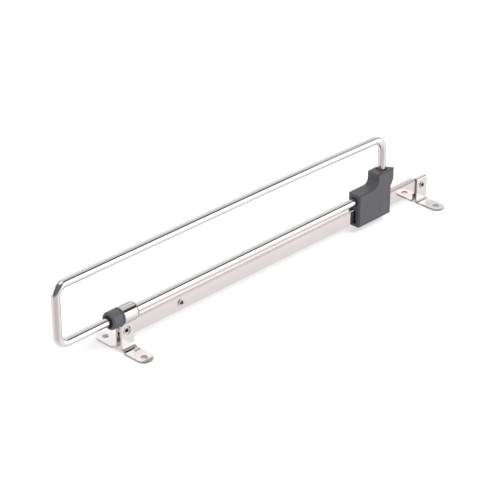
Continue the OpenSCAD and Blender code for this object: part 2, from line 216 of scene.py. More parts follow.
class Work:
    """A mesh on the bench, in millimetres, with the operations that the pieces share."""

    def __init__(self) -> None:
        """Starts with an empty mesh."""
        self.mesh = bmesh.new()

    def loop(self, points: list[Vector]) -> Edges:
        """Adds a closed loop of edges.

        Args:
            points: the loop's corners in order.

        Returns:
            The new edges.
        """
        corners = [self.mesh.verts.new(point) for point in points]
        return [self.mesh.edges.new((corners[i - 1], corners[i])) for i in range(len(corners))]

    def circle(self, radius: float, facets: int, place: Matrix) -> Edges:
        """Adds a closed circle of edges.

        Args:
            radius: the circle's radius.
            facets: how many edges it has.
            place: takes it from the middle of X and Y to where it is wanted.

        Returns:
            The new edges.
        """
        made = bmesh.ops.create_circle(self.mesh, cap_ends=False, radius=radius, segments=facets,
                                       matrix=place)["verts"]
        return list(dict.fromkeys(edge for vert in made for edge in vert.link_edges))

    def draw(self, ring: Edges) -> tuple[Verts, Edges]:
        """Draws a wall out of a ring of edges, which is then moved or scaled.

        Args:
            ring: where the wall starts.

        Returns:
            The vertices and the edges at its other end.
        """
        made = bmesh.ops.extrude_edge_only(self.mesh, edges=ring)["geom"]
        ends = [part for part in made if isinstance(part, bmesh.types.BMVert)]
        return ends, [part for part in made if isinstance(part, bmesh.types.BMEdge)
                      and all(vert in ends for vert in part.verts)]

    def plate(self, outline: Outline, place: Matrix, depth: Vector) -> None:
        """Adds a solid plate: an outline filled and pushed out.

        Args:
            outline: the plate's edge in its own X and Y.
            place: takes the outline to where it is wanted.
            depth: how far and which way the plate is pushed out.
        """
        edges = self.loop([place @ Vector((*point, 0)) for point in outline.points])
        face = bmesh.ops.edgeloop_fill(self.mesh, edges=edges)["faces"]
        self.push(face, depth, keep=True)

    def push(self, faces: Faces, depth: Vector, keep: bool = False) -> None:
        """Extrudes faces along a vector.

        Args:
            faces: what is extruded.
            depth: how far and which way.
            keep: whether the first faces stay, as the back of a plate.
        """
        made = bmesh.ops.extrude_face_region(self.mesh, geom=faces, use_keep_orig=True)["geom"]
        moved = [part for part in made if isinstance(part, bmesh.types.BMVert)]
        bmesh.ops.translate(self.mesh, verts=moved, vec=depth)
        if not keep:
            bmesh.ops.delete(self.mesh, geom=faces, context="FACES_ONLY")

    def turn(self, outline: Outline, place: Matrix, steps: int,
             angle: float = FULL_TURN) -> None:
        """Turns an outline round an axis, as on a lathe.

        Args:
            outline: distance along the axis against radius.
            place: takes the axis from +X, through the origin, to where it is wanted.
            steps: how many facets the turn has.
            angle: how far it turns; less than a full turn leaves its ends open.
        """
        edges = self.loop([place @ Vector((*point, 0)) for point in outline.points])
        bmesh.ops.spin(self.mesh, geom=ends_of(edges) + edges, cent=place.translation,
                       axis=place.to_3x3() @ ACROSS, dvec=(0, 0, 0), angle=angle,
                       steps=steps, use_merge=angle == FULL_TURN)

    def split(self, places: list[float], axis: Vector) -> None:
        """Cuts the mesh across an axis at each place, and keeps both sides.

        Args:
            places: distances along the axis.
            axis: the direction that the cuts stand across.
        """
        for place in places:
            whole = [*self.mesh.verts, *self.mesh.edges, *self.mesh.faces]
            bmesh.ops.bisect_plane(self.mesh, geom=whole, dist=WELD, plane_co=axis * place,
                                   plane_no=axis)

    def sharp_edges(self, least: float) -> Edges:
        """Lists the edges at which two faces meet at more than an angle, in degrees."""
        return [edge for edge in self.mesh.edges
                if len(edge.link_faces) == 2
                and edge.calc_face_angle(0) > math.radians(least)]

    def round_edges(self, edges: Edges, radius: float, segments: int) -> None:
        """Rounds edges off.

        Args:
            edges: what is rounded.
            radius: how wide the rounding is.
            segments: how many faces it has.
        """
        bmesh.ops.bevel(self.mesh, geom=edges, offset=radius, offset_type="OFFSET",
                        affect="EDGES", segments=segments, profile=0.5, material=-1,
                        clamp_overlap=True)

    def tidy(self) -> None:
        """Merges doubles and points every face outwards."""
        bmesh.ops.remove_doubles(self.mesh, verts=self.mesh.verts, dist=WELD)
        bmesh.ops.recalc_face_normals(self.mesh, faces=self.mesh.faces)

    def done(self, name: str) -> bpy.types.Object:
        """Makes a Blender object in metres from the mesh.

        Args:
            name: the object's name.

        Returns:
            The object, at the origin.
        """
        self.tidy()
        bmesh.ops.scale(self.mesh, verts=self.mesh.verts, vec=Vector((MM, MM, MM)))
        data = bpy.data.meshes.new(name)
        self.mesh.to_mesh(data)
        self.mesh.free()
        piece = bpy.data.objects.new(name, data)
        bpy.context.scene.collection.objects.link(piece)
        return piece


def drill(start: Vector, way: Vector, diameter: float, depth: float) -> bpy.types.Object:
    """Makes a round solid to cut a bore with.

    Args:
        start: the middle of its first face.
        way: its direction.
        diameter: its diameter.
        depth: its length.

    Returns:
        The drill, a closed solid for cut_away.
    """
    work = Work()
    turn = way.to_track_quat("Z", "Y").to_matrix().to_4x4()
    place = Matrix.Translation(start + way * (depth / 2)) @ turn
    bmesh.ops.create_cone(work.mesh, cap_ends=True, cap_tris=False, segments=ROUND_FACETS,
                          radius1=diameter / 2, radius2=diameter / 2, depth=depth, matrix=place)
    return work.done("drill")


def rivet_drill(node: str, reach: float = 20) -> bpy.types.Object:
    """Makes a drill along X through a rivet's middle.

    Args:
        node: the rivet that the hole is for.
        reach: how far the drill goes to each side.

    Returns:
        The drill, a closed solid for cut_away.
    """
    middle = Box.of(node).middle
    return drill(Vector((-reach, middle.y, middle.z)), ACROSS, STOCK.rivet_hole_d, 2 * reach)


def mill(low: Vector, high: Vector) -> bpy.types.Object:
    """Makes a block to cut a slot or pocket with.

    Args:
        low: its lowest corner.
        high: its highest corner.

    Returns:
        The block, a closed solid for cut_away.
    """
    work = Work()
    made = bmesh.ops.create_cube(work.mesh, size=1)["verts"]
    bmesh.ops.scale(work.mesh, verts=made, vec=high - low)
    bmesh.ops.translate(work.mesh, verts=made, vec=(low + high) / 2)
    return work.done("mill")


def cut_away(piece: bpy.types.Object, tools: list[bpy.types.Object]) -> None:
    """Cuts tools out of a piece and removes them.

    Args:
        piece: what is cut.
        tools: closed solids that are taken away from it.
    """
    for tool in tools:
        cut = piece.modifiers.new("cut", "BOOLEAN")
        cut.operation = "DIFFERENCE"
        cut.solver = "EXACT"
        cut.object = tool
    graph = bpy.context.evaluated_depsgraph_get()
    mesh = bpy.data.meshes.new_from_object(piece.evaluated_get(graph))
    piece.modifiers.clear()
    piece.data = mesh
    for tool in tools:
        bpy.data.objects.remove(tool)


def finish_edges(piece: bpy.types.Object, radius: float = 0, segments: int = 2,
                 least: float = 40, flat_weight: int = 100) -> None:
    """Rounds a piece's edges with a live bevel and keeps its flat faces flat.

    Args:
        piece: what is finished.
        radius: the rounding in millimetres; none when it is zero.
        segments: how many faces each rounding has.
        least: the angle in degrees above which an edge is rounded, or else stays sharp.
        flat_weight: how strongly the larger faces rule the shading, up to 100.
    """
    piece.data.shade_smooth()
    if not radius:
        piece.data.set_sharp_from_angle(angle=math.radians(least))
    else:
        bevel = piece.modifiers.new("edges", "BEVEL")
        bevel.width = radius * MM
        bevel.segments = segments
        bevel.limit_method = "ANGLE"
        bevel.angle_limit = math.radians(least)
        bevel.use_clamp_overlap = True
        bevel.harden_normals = False
    normals = piece.modifiers.new("normals", "WEIGHTED_NORMAL")
    normals.weight = flat_weight
    normals.keep_sharp = True


def fit(piece: bpy.types.Object, node: str, body: Body,
        finish: bpy.types.Material) -> bpy.types.Object:
    """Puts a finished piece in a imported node's place.

    Args:
        piece: the piece.
        node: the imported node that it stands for.
        body: what it moves with.
        finish: its material.

    Returns:
        The piece.
    """
    piece.data.materials.clear()
    piece.data.materials.append(finish)
    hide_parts(node)
    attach(piece, body.value)
    return piece


# Finishes


@dataclass(frozen=True)
class Fade:
    """A change from one level to another between two places, held at both ends."""

    start: float
    end: float
    before: float = 0.0
    after: float = 1.0

    def in_metres(self) -> "Fade":
        """The same change, with its places taken from millimetres to metres."""
        return Fade(self.start * MM, self.end * MM, self.before, self.after)


@dataclass(frozen=True)
class Noise:
    """A noise pattern: how fine it is, how many finer layers it has, and how strong they are."""

    scale: float
    detail: float = 3
    roughness: float = 0.55


class Nodes:
    """A material's or world's node tree, filled node by node."""

    def __init__(self, tree: bpy.types.NodeTree) -> None:
        """Empties the tree."""
        self.tree = tree
        tree.nodes.clear()

    def add(self, kind: str, inputs: dict[str | int, object] | None = None,
            **settings: object) -> bpy.types.Node:
        """Adds a node.

        Args:
            kind: the node's type without its ShaderNode prefix.
            inputs: values or other nodes' sockets for its inputs.
            settings: the node's own properties.

        Returns:
            The new node.
        """
        node = self.tree.nodes.new("ShaderNode" + kind)
        for key, value in settings.items():
            setattr(node, key, value)
        for key, value in (inputs or {}).items():
            if isinstance(value, bpy.types.NodeSocket):
                self.tree.links.new(value, node.inputs[key])
            else:
                node.inputs[key].default_value = value
        return node

    def math(self, operation: str, *values: Socket | float) -> Socket:
        """Adds a sum on numbers."""
        return self.add("Math", dict(enumerate(values)), operation=operation).outputs[0]

    def vector(self, operation: str, *values: Socket | Vector | Triple) -> bpy.types.Node:
        """Adds a sum on vectors, which gives a Vector or a Value."""
        return self.add("VectorMath", dict(enumerate(values)), operation=operation)

    def scaled(self, colour: Socket, share: Socket) -> Socket:
        """Multiplies a colour by a share."""
        return self.add("VectorMath", {0: colour, "Scale": share},
                        operation="SCALE").outputs["Vector"]

    def mixed(self, share: Socket, first: Socket, second: Socket | tuple) -> Socket:
        """Mixes two colours, from the first at zero to the second at one."""
        return self.add("MixRGB", {"Fac": share, "Color1": first,
                                   "Color2": second}).outputs["Color"]

    def split(self, vector: Socket) -> list[Socket]:
        """Splits a vector into X, Y and Z."""
        parts = self.add("SeparateXYZ", {"Vector": vector}).outputs
        return [parts[name] for name in "XYZ"]

    def object_place(self) -> Socket:
        """Gives the place on the object."""
        return self.add("TexCoord").outputs["Object"]

    def stretched(self, grain: Grain) -> Socket:
        """Gives the place on the object, squeezed along the way the metal was drawn."""
        return self.add("Mapping", {"Vector": self.object_place(),
                                    "Scale": grain.value}).outputs["Vector"]

    def noise(self, at: Socket, noise: Noise) -> Socket:
        """Adds a noise texture and gives its factor."""
        return self.add("TexNoise", {"Vector": at, "Scale": noise.scale, "Detail": noise.detail,
                                     "Roughness": noise.roughness}).outputs["Fac"]

    def cells(self, at: Socket, scale: float, feature: str = "F1") -> Socket:
        """Adds a cell texture and gives the distance to each cell's middle."""
        return self.add("TexVoronoi", {"Vector": at, "Scale": scale},
                        feature=feature).outputs["Distance"]

    def bump(self, height: Socket, strength: float, reach: float = 0.0001) -> Socket:
        """Adds a bump and gives the surface's direction."""
        return self.add("Bump", {"Height": height, "Strength": strength,
                                 "Distance": reach}).outputs["Normal"]

    def fade(self, value: Socket, fade: Fade) -> Socket:
        """Maps a value through a fade."""
        return self.add("MapRange", {"Value": value, "From Min": fade.start,
                                     "From Max": fade.end, "To Min": fade.before,
                                     "To Max": fade.after}).outputs["Result"]

    def undarkened(self, keep: float) -> Socket:
        """Gives each face's brightness: one, or down to keep where it is marked as darker, by
        painted shade or as a sheared edge.
        """
        darkened = self.add("Attribute", attribute_name=DARKENED).outputs["Fac"]
        return self.fade(darkened, Fade(0, 1, 1, keep))

    def tint(self, value: Socket, dark: Triple, light: Triple) -> Socket:
        """Maps a value to a colour between two.

        Args:
            value: what is mapped.
            dark: the colour at the low end of a noise's range.
            light: the colour at its high end.

        Returns:
            The colour.
        """
        ramp = self.add("ValToRGB", {"Fac": value})
        for element, place, colour in zip(ramp.color_ramp.elements, NOISE_RANGE, (dark, light)):
            element.position = place
            element.color = (*colour, 1)
        return ramp.outputs["Color"]

    def ramp(self, value: Socket, stops: tuple[Point, ...], low: float, high: float) -> Socket:
        """Maps a value to a brightness that runs from stop to stop.

        Args:
            value: what is mapped.
            stops: places and the brightness at each.
            low: the place at the ramp's start.
            high: the place at its end.

        Returns:
            The brightness as a grey.
        """
        ramp = self.add("ValToRGB", {"Fac": self.fade(value, Fade(low, high))})
        while len(ramp.color_ramp.elements) < len(stops):
            ramp.color_ramp.elements.new(0.5)
        for element, (place, level) in zip(ramp.color_ramp.elements, stops):
            element.position = (place - low) / (high - low)
            element.color = (level, level, level, 1)
        return ramp.outputs["Color"]


def blank_material(name: str) -> tuple[bpy.types.Material, Nodes]:
    """Makes a material whose node tree is empty.

    Args:
        name: the material's name.

    Returns:
        The material and its tree.
    """
    material = bpy.data.materials.new(name)
    material.use_nodes = True
    return material, Nodes(material.node_tree)


@dataclass(frozen=True)
class ShadePatch:
    """A patch of painted shade on a metal, standing in for a dimmer reflection: an ellipsoid in
    millimetres, and how bright it is inside.

    The core is the share of its radii out to which it is as dark as in its middle.
    """

    middle: Triple
    radii: Triple
    keep: float
    core: float = 0.75


@dataclass(frozen=True)
class Crease:
    """The heights between which bent chrome is crazed, in millimetres, and how rough it is."""

    low: float
    high: float
    added: float
    low_blur: float = 0.3
    high_blur: float = 1.0


@dataclass(frozen=True)
class ChromeFinish:
    """Bright chrome over drawn or rolled steel: clouding, drawn lines and pits, darker marked
    faces, and painted shade in patches and in height bands.

    Shade bands are heights in millimetres with a brightness at each.
    """

    slot: Slot
    light: Triple
    dark: Triple
    grain: Grain
    smoothest: float = 0.03
    roughest: float = 0.09
    rub_range: Point = (0.35, 0.75)
    cloud: Noise = Noise(55, 4)
    lines: Noise = Noise(1800, 5, 0.65)
    line_depth: float = 0.02
    pit_scale: float = 420
    pit_edge: Fade = Fade(0, 0.16, 1, 0)
    pit_roughness: float = 0.12
    pit_depth: float = -0.6
    # How bright the marked faces stay: darker sheared edges, and painted shade in holes, bores and
    # gaps
    darkened_keep: float = 0.3
    # Painted shade: patches standing in for dimmer reflections, and bands of painted shade and
    # light by height
    shade_patches: tuple[ShadePatch, ...] = ()
    shade_bands: tuple[Point, ...] = ()
    crease: Crease | None = None

    def dimmed(self, nodes: Nodes, at: Socket, colour: Socket) -> Socket:
        """Dims the colour on darker-marked faces, and paints shade in the shade patches and by the
        height bands.

        Args:
            nodes: the material's node tree.
            at: object coordinates.
            colour: what is dimmed.

        Returns:
            The dimmed colour.
        """
        bright = nodes.undarkened(self.darkened_keep)
        for shade_patch in self.shade_patches:
            away = nodes.vector("SUBTRACT", at, Vector(shade_patch.middle) * MM).outputs["Vector"]
            away = nodes.vector("DIVIDE", away, Vector(shade_patch.radii) * MM).outputs["Vector"]
            away = nodes.vector("LENGTH", away).outputs["Value"]
            inside = nodes.fade(away, Fade(shade_patch.core, 1, shade_patch.keep, 1))
            bright = nodes.math("MULTIPLY", bright, inside)
        if self.shade_bands:
            height = nodes.split(at)[2]
            stops = tuple((place * MM, level) for place, level in self.shade_bands)
            shade_band = nodes.ramp(height, stops, stops[0][0], stops[-1][0])
            bright = nodes.math("MULTIPLY", bright, shade_band)
        return nodes.scaled(colour, bright)

    def creased(self, nodes: Nodes, at: Socket, rough: Socket) -> Socket:
        """Roughens the bends above the feet, where the chrome is crazed.

        Args:
            nodes: the material's node tree.
            at: object coordinates.
            rough: the roughness elsewhere.

        Returns:
            The roughness everywhere.
        """
        crease = self.crease
        if crease is None:
            return rough
        starts = Fade(crease.low, crease.low + crease.low_blur, 0, crease.added)
        ends = Fade(crease.high, crease.high + crease.high_blur, 1, 0)
        height = nodes.split(at)[2]
        return nodes.math("MULTIPLY_ADD", nodes.fade(height, starts.in_metres()),
                          nodes.fade(height, ends.in_metres()), rough)

    def make(self) -> bpy.types.Material:
        """Builds the material.

        Returns:
            The finished material.
        """
        material, nodes = blank_material(self.slot.value)
        at = nodes.object_place()
        lines = nodes.noise(nodes.stretched(self.grain), self.lines)
        pitted = nodes.fade(nodes.cells(at, self.pit_scale), self.pit_edge)
        rubbed = nodes.fade(lines, Fade(*self.rub_range, self.smoothest, self.roughest))
        rough = nodes.math("MULTIPLY_ADD", pitted, self.pit_roughness, rubbed)
        height = nodes.math("MULTIPLY_ADD", pitted, self.pit_depth, lines)
        colour = nodes.tint(nodes.noise(at, self.cloud), self.dark, self.light)
        shader = nodes.add("BsdfPrincipled", {
            "Base Color": self.dimmed(nodes, at, colour),
            "Roughness": self.creased(nodes, at, rough),
            "Normal": nodes.bump(height, self.line_depth), "Metallic": 1.0})
        nodes.add("OutputMaterial", {"Surface": shader.outputs["BSDF"]})
        return material


@dataclass(frozen=True)
class MouldedFinish:
    """Dark moulded plastic: eroded grain, flow clouding, rubbed patches and painted shade on
    marked faces, such as the borders of raised panels.
    """

    slot: Slot
    light: Triple
    dark: Triple
    smoothest: float = 0.38
    roughest: float = 0.56
    flow: Noise = Noise(260, 4)
    grain: Noise = Noise(2600, 4, 0.6)
    grain_depth: float = 0.25
    pebble_share: float = 0.7
    # How bright the marked faces stay under their painted shade
    border_shade_keep: float = 0.68
    refraction: float = 1.5

    def make(self) -> bpy.types.Material:
        """Builds the material.

        Returns:
            The finished material.
        """
        material, nodes = blank_material(self.slot.value)
        at = nodes.object_place()
        grain = nodes.noise(at, self.grain)
        pebble = nodes.cells(at, self.grain.scale * self.pebble_share, "SMOOTH_F1")
        height = nodes.math("ADD", grain, pebble)
        flow = nodes.noise(nodes.stretched(Grain.UPRIGHT), self.flow)
        colour = nodes.tint(flow, self.dark, self.light)
        shader = nodes.add("BsdfPrincipled", {
            "Base Color": nodes.scaled(colour, nodes.undarkened(self.border_shade_keep)),
            "Roughness": nodes.fade(grain, Fade(*NOISE_RANGE, self.smoothest, self.roughest)),
            "Normal": nodes.bump(height, self.grain_depth), "IOR": self.refraction,
            "Metallic": 0.0})
        nodes.add("OutputMaterial", {"Surface": shader.outputs["BSDF"]})
        return material


WIRE_CHROME = ChromeFinish(Slot.WIRE, (0.95, 0.92, 0.922), (0.92, 0.89, 0.892), Grain.ALONG_RAIL)
RAIL_CHROME = ChromeFinish(
    Slot.RAIL, (0.88, 0.812, 0.806), (0.855, 0.787, 0.781), Grain.ALONG_RAIL,
    # Painted shade on the flange's top behind the carriage, standing in for a dimmer reflection
    shade_patches=(ShadePatch((0, 215, 28), (12, 60, 3), 0.67),),
    # Painted shade and light up the web, past its root, and up the flange's edge to its top;
    # darkest just under the flange, where its shadow falls
    shade_bands=((11, 0.95), (14, 0.96), (18, 0.98), (22, 1.02), (24, 1.03), (25.1, 0.93),
           (26.1, 0.77), (26.6, 0.76), (27, 0.84), (27.7, 0.8), (27.95, 1.0)))
STRIP_CHROME = ChromeFinish(
    Slot.STRIP, (0.885, 0.853, 0.843), (0.855, 0.823, 0.813), Grain.UPRIGHT,
    smoothest=0.06, roughest=0.14,
    # Painted shade, standing in for dimmer reflections, on the two front feet, the right rear
    # foot, the rear fold and the wrap's top
    shade_patches=(ShadePatch((-22, -164.4, 1.6), (20, 20, 5), 0.95, 0.85),
             ShadePatch((22, -164.4, 1.6), (22, 22, 4), 0.74, 0.8),
             ShadePatch((24, 235.6, 1.6), (18, 18, 4), 0.76, 0.85),
             ShadePatch((0, 235.6, 26.8), (8, 14, 3), 0.95),
             ShadePatch((-4, -162.5, 43), (5, 14, 3), 0.72)),
    crease=Crease(2.0, 3.4, 0.38))
RIVET_STEEL = ChromeFinish(Slot.RIVET, (0.8, 0.79, 0.79), (0.74, 0.73, 0.73), Grain.ROUND,
                           smoothest=0.1, roughest=0.22, line_depth=0.05)
PIN_STEEL = ChromeFinish(Slot.PIN, (0.35, 0.35, 0.36), (0.25, 0.25, 0.26), Grain.ROUND,
                         smoothest=0.3, roughest=0.45, line_depth=0.08)
CARRIAGE_PLASTIC = MouldedFinish(Slot.CARRIAGE, (0.116, 0.114, 0.128), (0.096, 0.095, 0.107))
BUSH_PLASTIC = MouldedFinish(Slot.BUSH, (0.124, 0.124, 0.136), (0.104, 0.104, 0.114),
                             smoothest=0.3, roughest=0.42, grain_depth=0.12)


# Pieces


class Maker:
    """Something that main builds and reports."""

    def build(self) -> bpy.types.Object:
        """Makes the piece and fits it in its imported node's place."""
        raise NotImplementedError


@dataclass(frozen=True)
class WireLoop(Maker):
    """One bent wire: lower run, front leg, upper run and rear leg."""

    finish: bpy.types.Material
    bend_r: float = 10
    rear_bend_r: float = 13
    sag: float = 2.2
    sag_l: float = 255
    sag_steps: int = 24
    end_chamfer: float = 0.8
    bend_steps: int = 18

    def build(self) -> bpy.types.Object:
        """Draws the wire from its lower end round to its rear end.

        Returns:
            The wire.
        """
        box = Box.of("wire_loop")
        radius, bend_r = box.size.x / 2, self.bend_r
        low_z, high_z = wire_height(), box.high.z - radius
        front_y, rear_y = box.low.y + radius, box.high.y - radius
        lower_end = rear_y - radius - STOCK.end_wall
        rear_end = Box.of("rail").high.z + STOCK.slide_gap + STOCK.end_wall
        rear_bend_y = rear_y - self.rear_bend_r
        sag_y = rear_y - self.sag_l
        work = Work()
        start = Matrix.Translation((0, lower_end, low_z)) @ Matrix.Rotation(QUARTER_TURN, 4, "X")
        first = work.circle(radius, ROUND_FACETS, start)
        ring = self.run(work, first, ALONG * (front_y + bend_r - lower_end))
        ring = self.bend(work, ring, front_y + bend_r, low_z + bend_r)
        ring = self.run(work, ring, UP * (high_z - low_z - 2 * bend_r))
        ring = self.bend(work, ring, front_y + bend_r, high_z - bend_r)
        ring = self.run(work, ring, ALONG * (sag_y - front_y - bend_r))
        for _ in range(self.sag_steps):
            ring = self.run(work, ring, ALONG * ((rear_bend_y - sag_y) / self.sag_steps))
        ring = self.bend(work, ring, rear_bend_y, high_z - self.rear_bend_r)
        ring = self.run(work, ring, UP * (rear_end - high_z + self.rear_bend_r))
        for cut_end in (first, ring):
            bmesh.ops.edgeloop_fill(work.mesh, edges=cut_end)
            work.round_edges(cut_end, self.end_chamfer, 1)
        self.lower_corner(work, sag_y, rear_y, high_z - self.rear_bend_r - WELD)
        piece = work.done("bent_wire")
        finish_edges(piece)
        return fit(piece, "wire_loop", Body.SLIDER, self.finish)

    def lower_corner(self, work: Work, from_y: float, to_y: float, above_z: float) -> None:
        """Lowers the upper rear corner a little, as the bent wire has sprung.

        Args:
            work: the mesh.
            from_y: where the upper run starts to dip.
            to_y: where the rear leg stands.
            above_z: what lies higher than this belongs to the upper run and its bend.
        """
        for vert in work.mesh.verts:
            share = held((vert.co.y - from_y) / (to_y - from_y))
            if vert.co.z > above_z:
                vert.co.z -= self.sag * share ** 3

    def run(self, work: Work, ring: Edges, way: Vector) -> Edges:
        """Draws a straight run from a ring of edges.

        Args:
            work: the mesh.
            ring: where the run starts.
            way: how far it goes and which way.

        Returns:
            The ring at its end.
        """
        ends, ring = work.draw(ring)
        bmesh.ops.translate(work.mesh, verts=ends, vec=way)
        return ring

    def bend(self, work: Work, ring: Edges, y: float, z: float) -> Edges:
        """Bends the wire a quarter turn round a point, towards the loop's next side.

        Args:
            work: the mesh.
            ring: where the bend starts.
            y: the bend's middle along the rail.
            z: the bend's middle in height.

        Returns:
            The ring at its end.
        """
        made = bmesh.ops.spin(work.mesh, geom=ends_of(ring) + ring, cent=(0, y, z), axis=ACROSS,
                              dvec=(0, 0, 0), angle=-QUARTER_TURN, steps=self.bend_steps,
                              use_merge=False)["geom_last"]
        return [part for part in made if isinstance(part, bmesh.types.BMEdge)]


@dataclass(frozen=True)
class Rail(Maker):
    """Rolled T rail: its flange is trimmed at both ends, and its web notched at the rear."""

    finish: bpy.types.Material
    front_gap: float = 1.8
    rear_gap: float = 3.5
    notch_depth: float = 2
    edge_r: float = 0.4
    flange_edge_r: float = 0.7
    root_r: float = 0.5
    web_facets: int = 4
    flange_facets: int = 6
    hole_clear: float = 8
    overrun: float = 1

    def section(self, flange_x: float, low_z: float, high_z: float) -> Outline:
        """Draws the rail's section with rolled edges and rounded roots.

        Args:
            flange_x: half the flange's width.
            low_z: height of the web's lower edge.
            high_z: height of the flange's top.

        Returns:
            The outline, across the rail and in height.
        """
        web_x, edge, root = STOCK.web_t / 2, self.edge_r, self.root_r
        under, rolled = high_z - STOCK.flange_t, self.flange_edge_r
        outline = Outline()
        outline.arc((web_x - edge, low_z + edge), edge, -90, 0, self.web_facets)
        outline.arc((web_x + root, under - root), root, 180, 90, self.web_facets)
        outline.arc((flange_x - rolled, under + rolled), rolled, -90, 0, self.flange_facets)
        outline.arc((flange_x - rolled, high_z - rolled), rolled, 0, 90, self.flange_facets)
        return outline.to(*[(-x, z) for x, z in reversed(outline.points)])

    def build(self) -> bpy.types.Object:
        """Rolls the section, trims the flange, notches the web and drills the rivet holes.

        Returns:
            The rail.
        """
        box = Box.of("rail")
        rear = Box.of("rear_bracket")
        under_z = box.high.z - STOCK.flange_t
        trims = ((box.low.y - self.overrun, Box.of("guide_bush").high.y + self.front_gap, under_z),
                 (rear.low.y - self.rear_gap, box.high.y + self.overrun, under_z),
                 (rear.low.y - self.rear_gap / 2, box.high.y + self.overrun,
                  rear.high.z - self.notch_depth))
        upright = Matrix.Translation((0, box.low.y, 0)) @ Matrix.Rotation(QUARTER_TURN, 4, "X")
        work = Work()
        work.plate(self.section(box.high.x, box.low.z, box.high.z), upright, ALONG * box.size.y)
        middles = [Box.of(node).middle.y for node in RIVETS]
        work.split([middle + side * self.hole_clear for middle in middles for side in (-1, 1)],
                   ALONG)
        piece = work.done("t_rail")
        tools = [rivet_drill(node) for node in RIVETS]
        tools += [mill(Vector((-box.size.x, start, low_z)),
                       Vector((box.size.x, end, box.high.z + self.overrun)))
                  for start, end, low_z in trims]
        cut_away(piece, tools)
        finish_edges(piece)
        return fit(piece, "rail", Body.BASE, self.finish)


@dataclass(frozen=True)
class Stretch:
    """One stretch of a strip's route, measured on its inner face."""

    length: float
    turn: float = 0.0

    @classmethod
    def curve(cls, inner_r: float, degrees: float) -> "Stretch":
        """An arc with its radius on the inner face; a turn to the right is positive."""
        turn = math.radians(degrees)
        return cls(abs(turn) * inner_r, turn)


@dataclass(frozen=True)
class Route:
    """The route of a bent strip's inner face, seen from the pull-out end."""

    start: Point
    stretches: tuple[Stretch, ...]

    def place(self, along: float, out: float) -> Point:
        """Finds a point of the bent strip.

        Args:
            along: distance from the strip's middle on the inner face.
            out: height above that face.

        Returns:
            The point across the rail and in height.
        """
        x, z = self.start
        heading = 0.0
        left = along
        for stretch in self.stretches:
            run = held(left, stretch.length)
            left -= run
            if stretch.turn:
                curl = -stretch.turn / stretch.length
                turned = heading + curl * run
                x += (math.sin(turned) - math.sin(heading)) / curl
                z += (math.cos(heading) - math.cos(turned)) / curl
                heading = turned
            else:
                x += run * math.cos(heading)
                z += run * math.sin(heading)
        x += left * math.cos(heading)
        z += left * math.sin(heading)
        return x - out * math.sin(heading), z + out * math.cos(heading)

    def cuts(self, step: float) -> list[float]:
        """Lists where the flat blank is divided so that its bends come out round.

        Args:
            step: how far each facet turns, in degrees.

        Returns:
            Distances along the strip.
        """
        places = []
        along = 0.0
        for stretch in self.stretches:
            facets = max(1, round(math.degrees(abs(stretch.turn)) / step))
            places += [along + stretch.length * facet / facets for facet in range(facets)]
            along += stretch.length
        return places[1:] + [along]


@dataclass(frozen=True)
class BracketSizes:
    """Sizes of one bracket, and how much darker the sheared rims of its legs and feet come out."""

    name: str
    node: str
    rivet: str
    width: float
    foot_bend_r: float
    leg_gap: float
    foot_extra: float
    leg_rim: float
    foot_rim: float
    strip_t: float = 1.6
    hole_d: float = 6
    rim_r: float = 0.4
    step_r: float = 1.0


FRONT_SIZES = BracketSizes("wrapped_bracket", "front_bracket", "front_bracket_rivet", width=16.4,
                           foot_bend_r=4.4, leg_gap=1.2, foot_extra=0.0, leg_rim=0.15,
                           foot_rim=0.5)
REAR_SIZES = BracketSizes("folded_bracket", "rear_bracket", "rear_bracket_rivet", width=15.6,
                          foot_bend_r=2.2, leg_gap=0.0, foot_extra=0.9, leg_rim=1.0,
                          foot_rim=0.6)


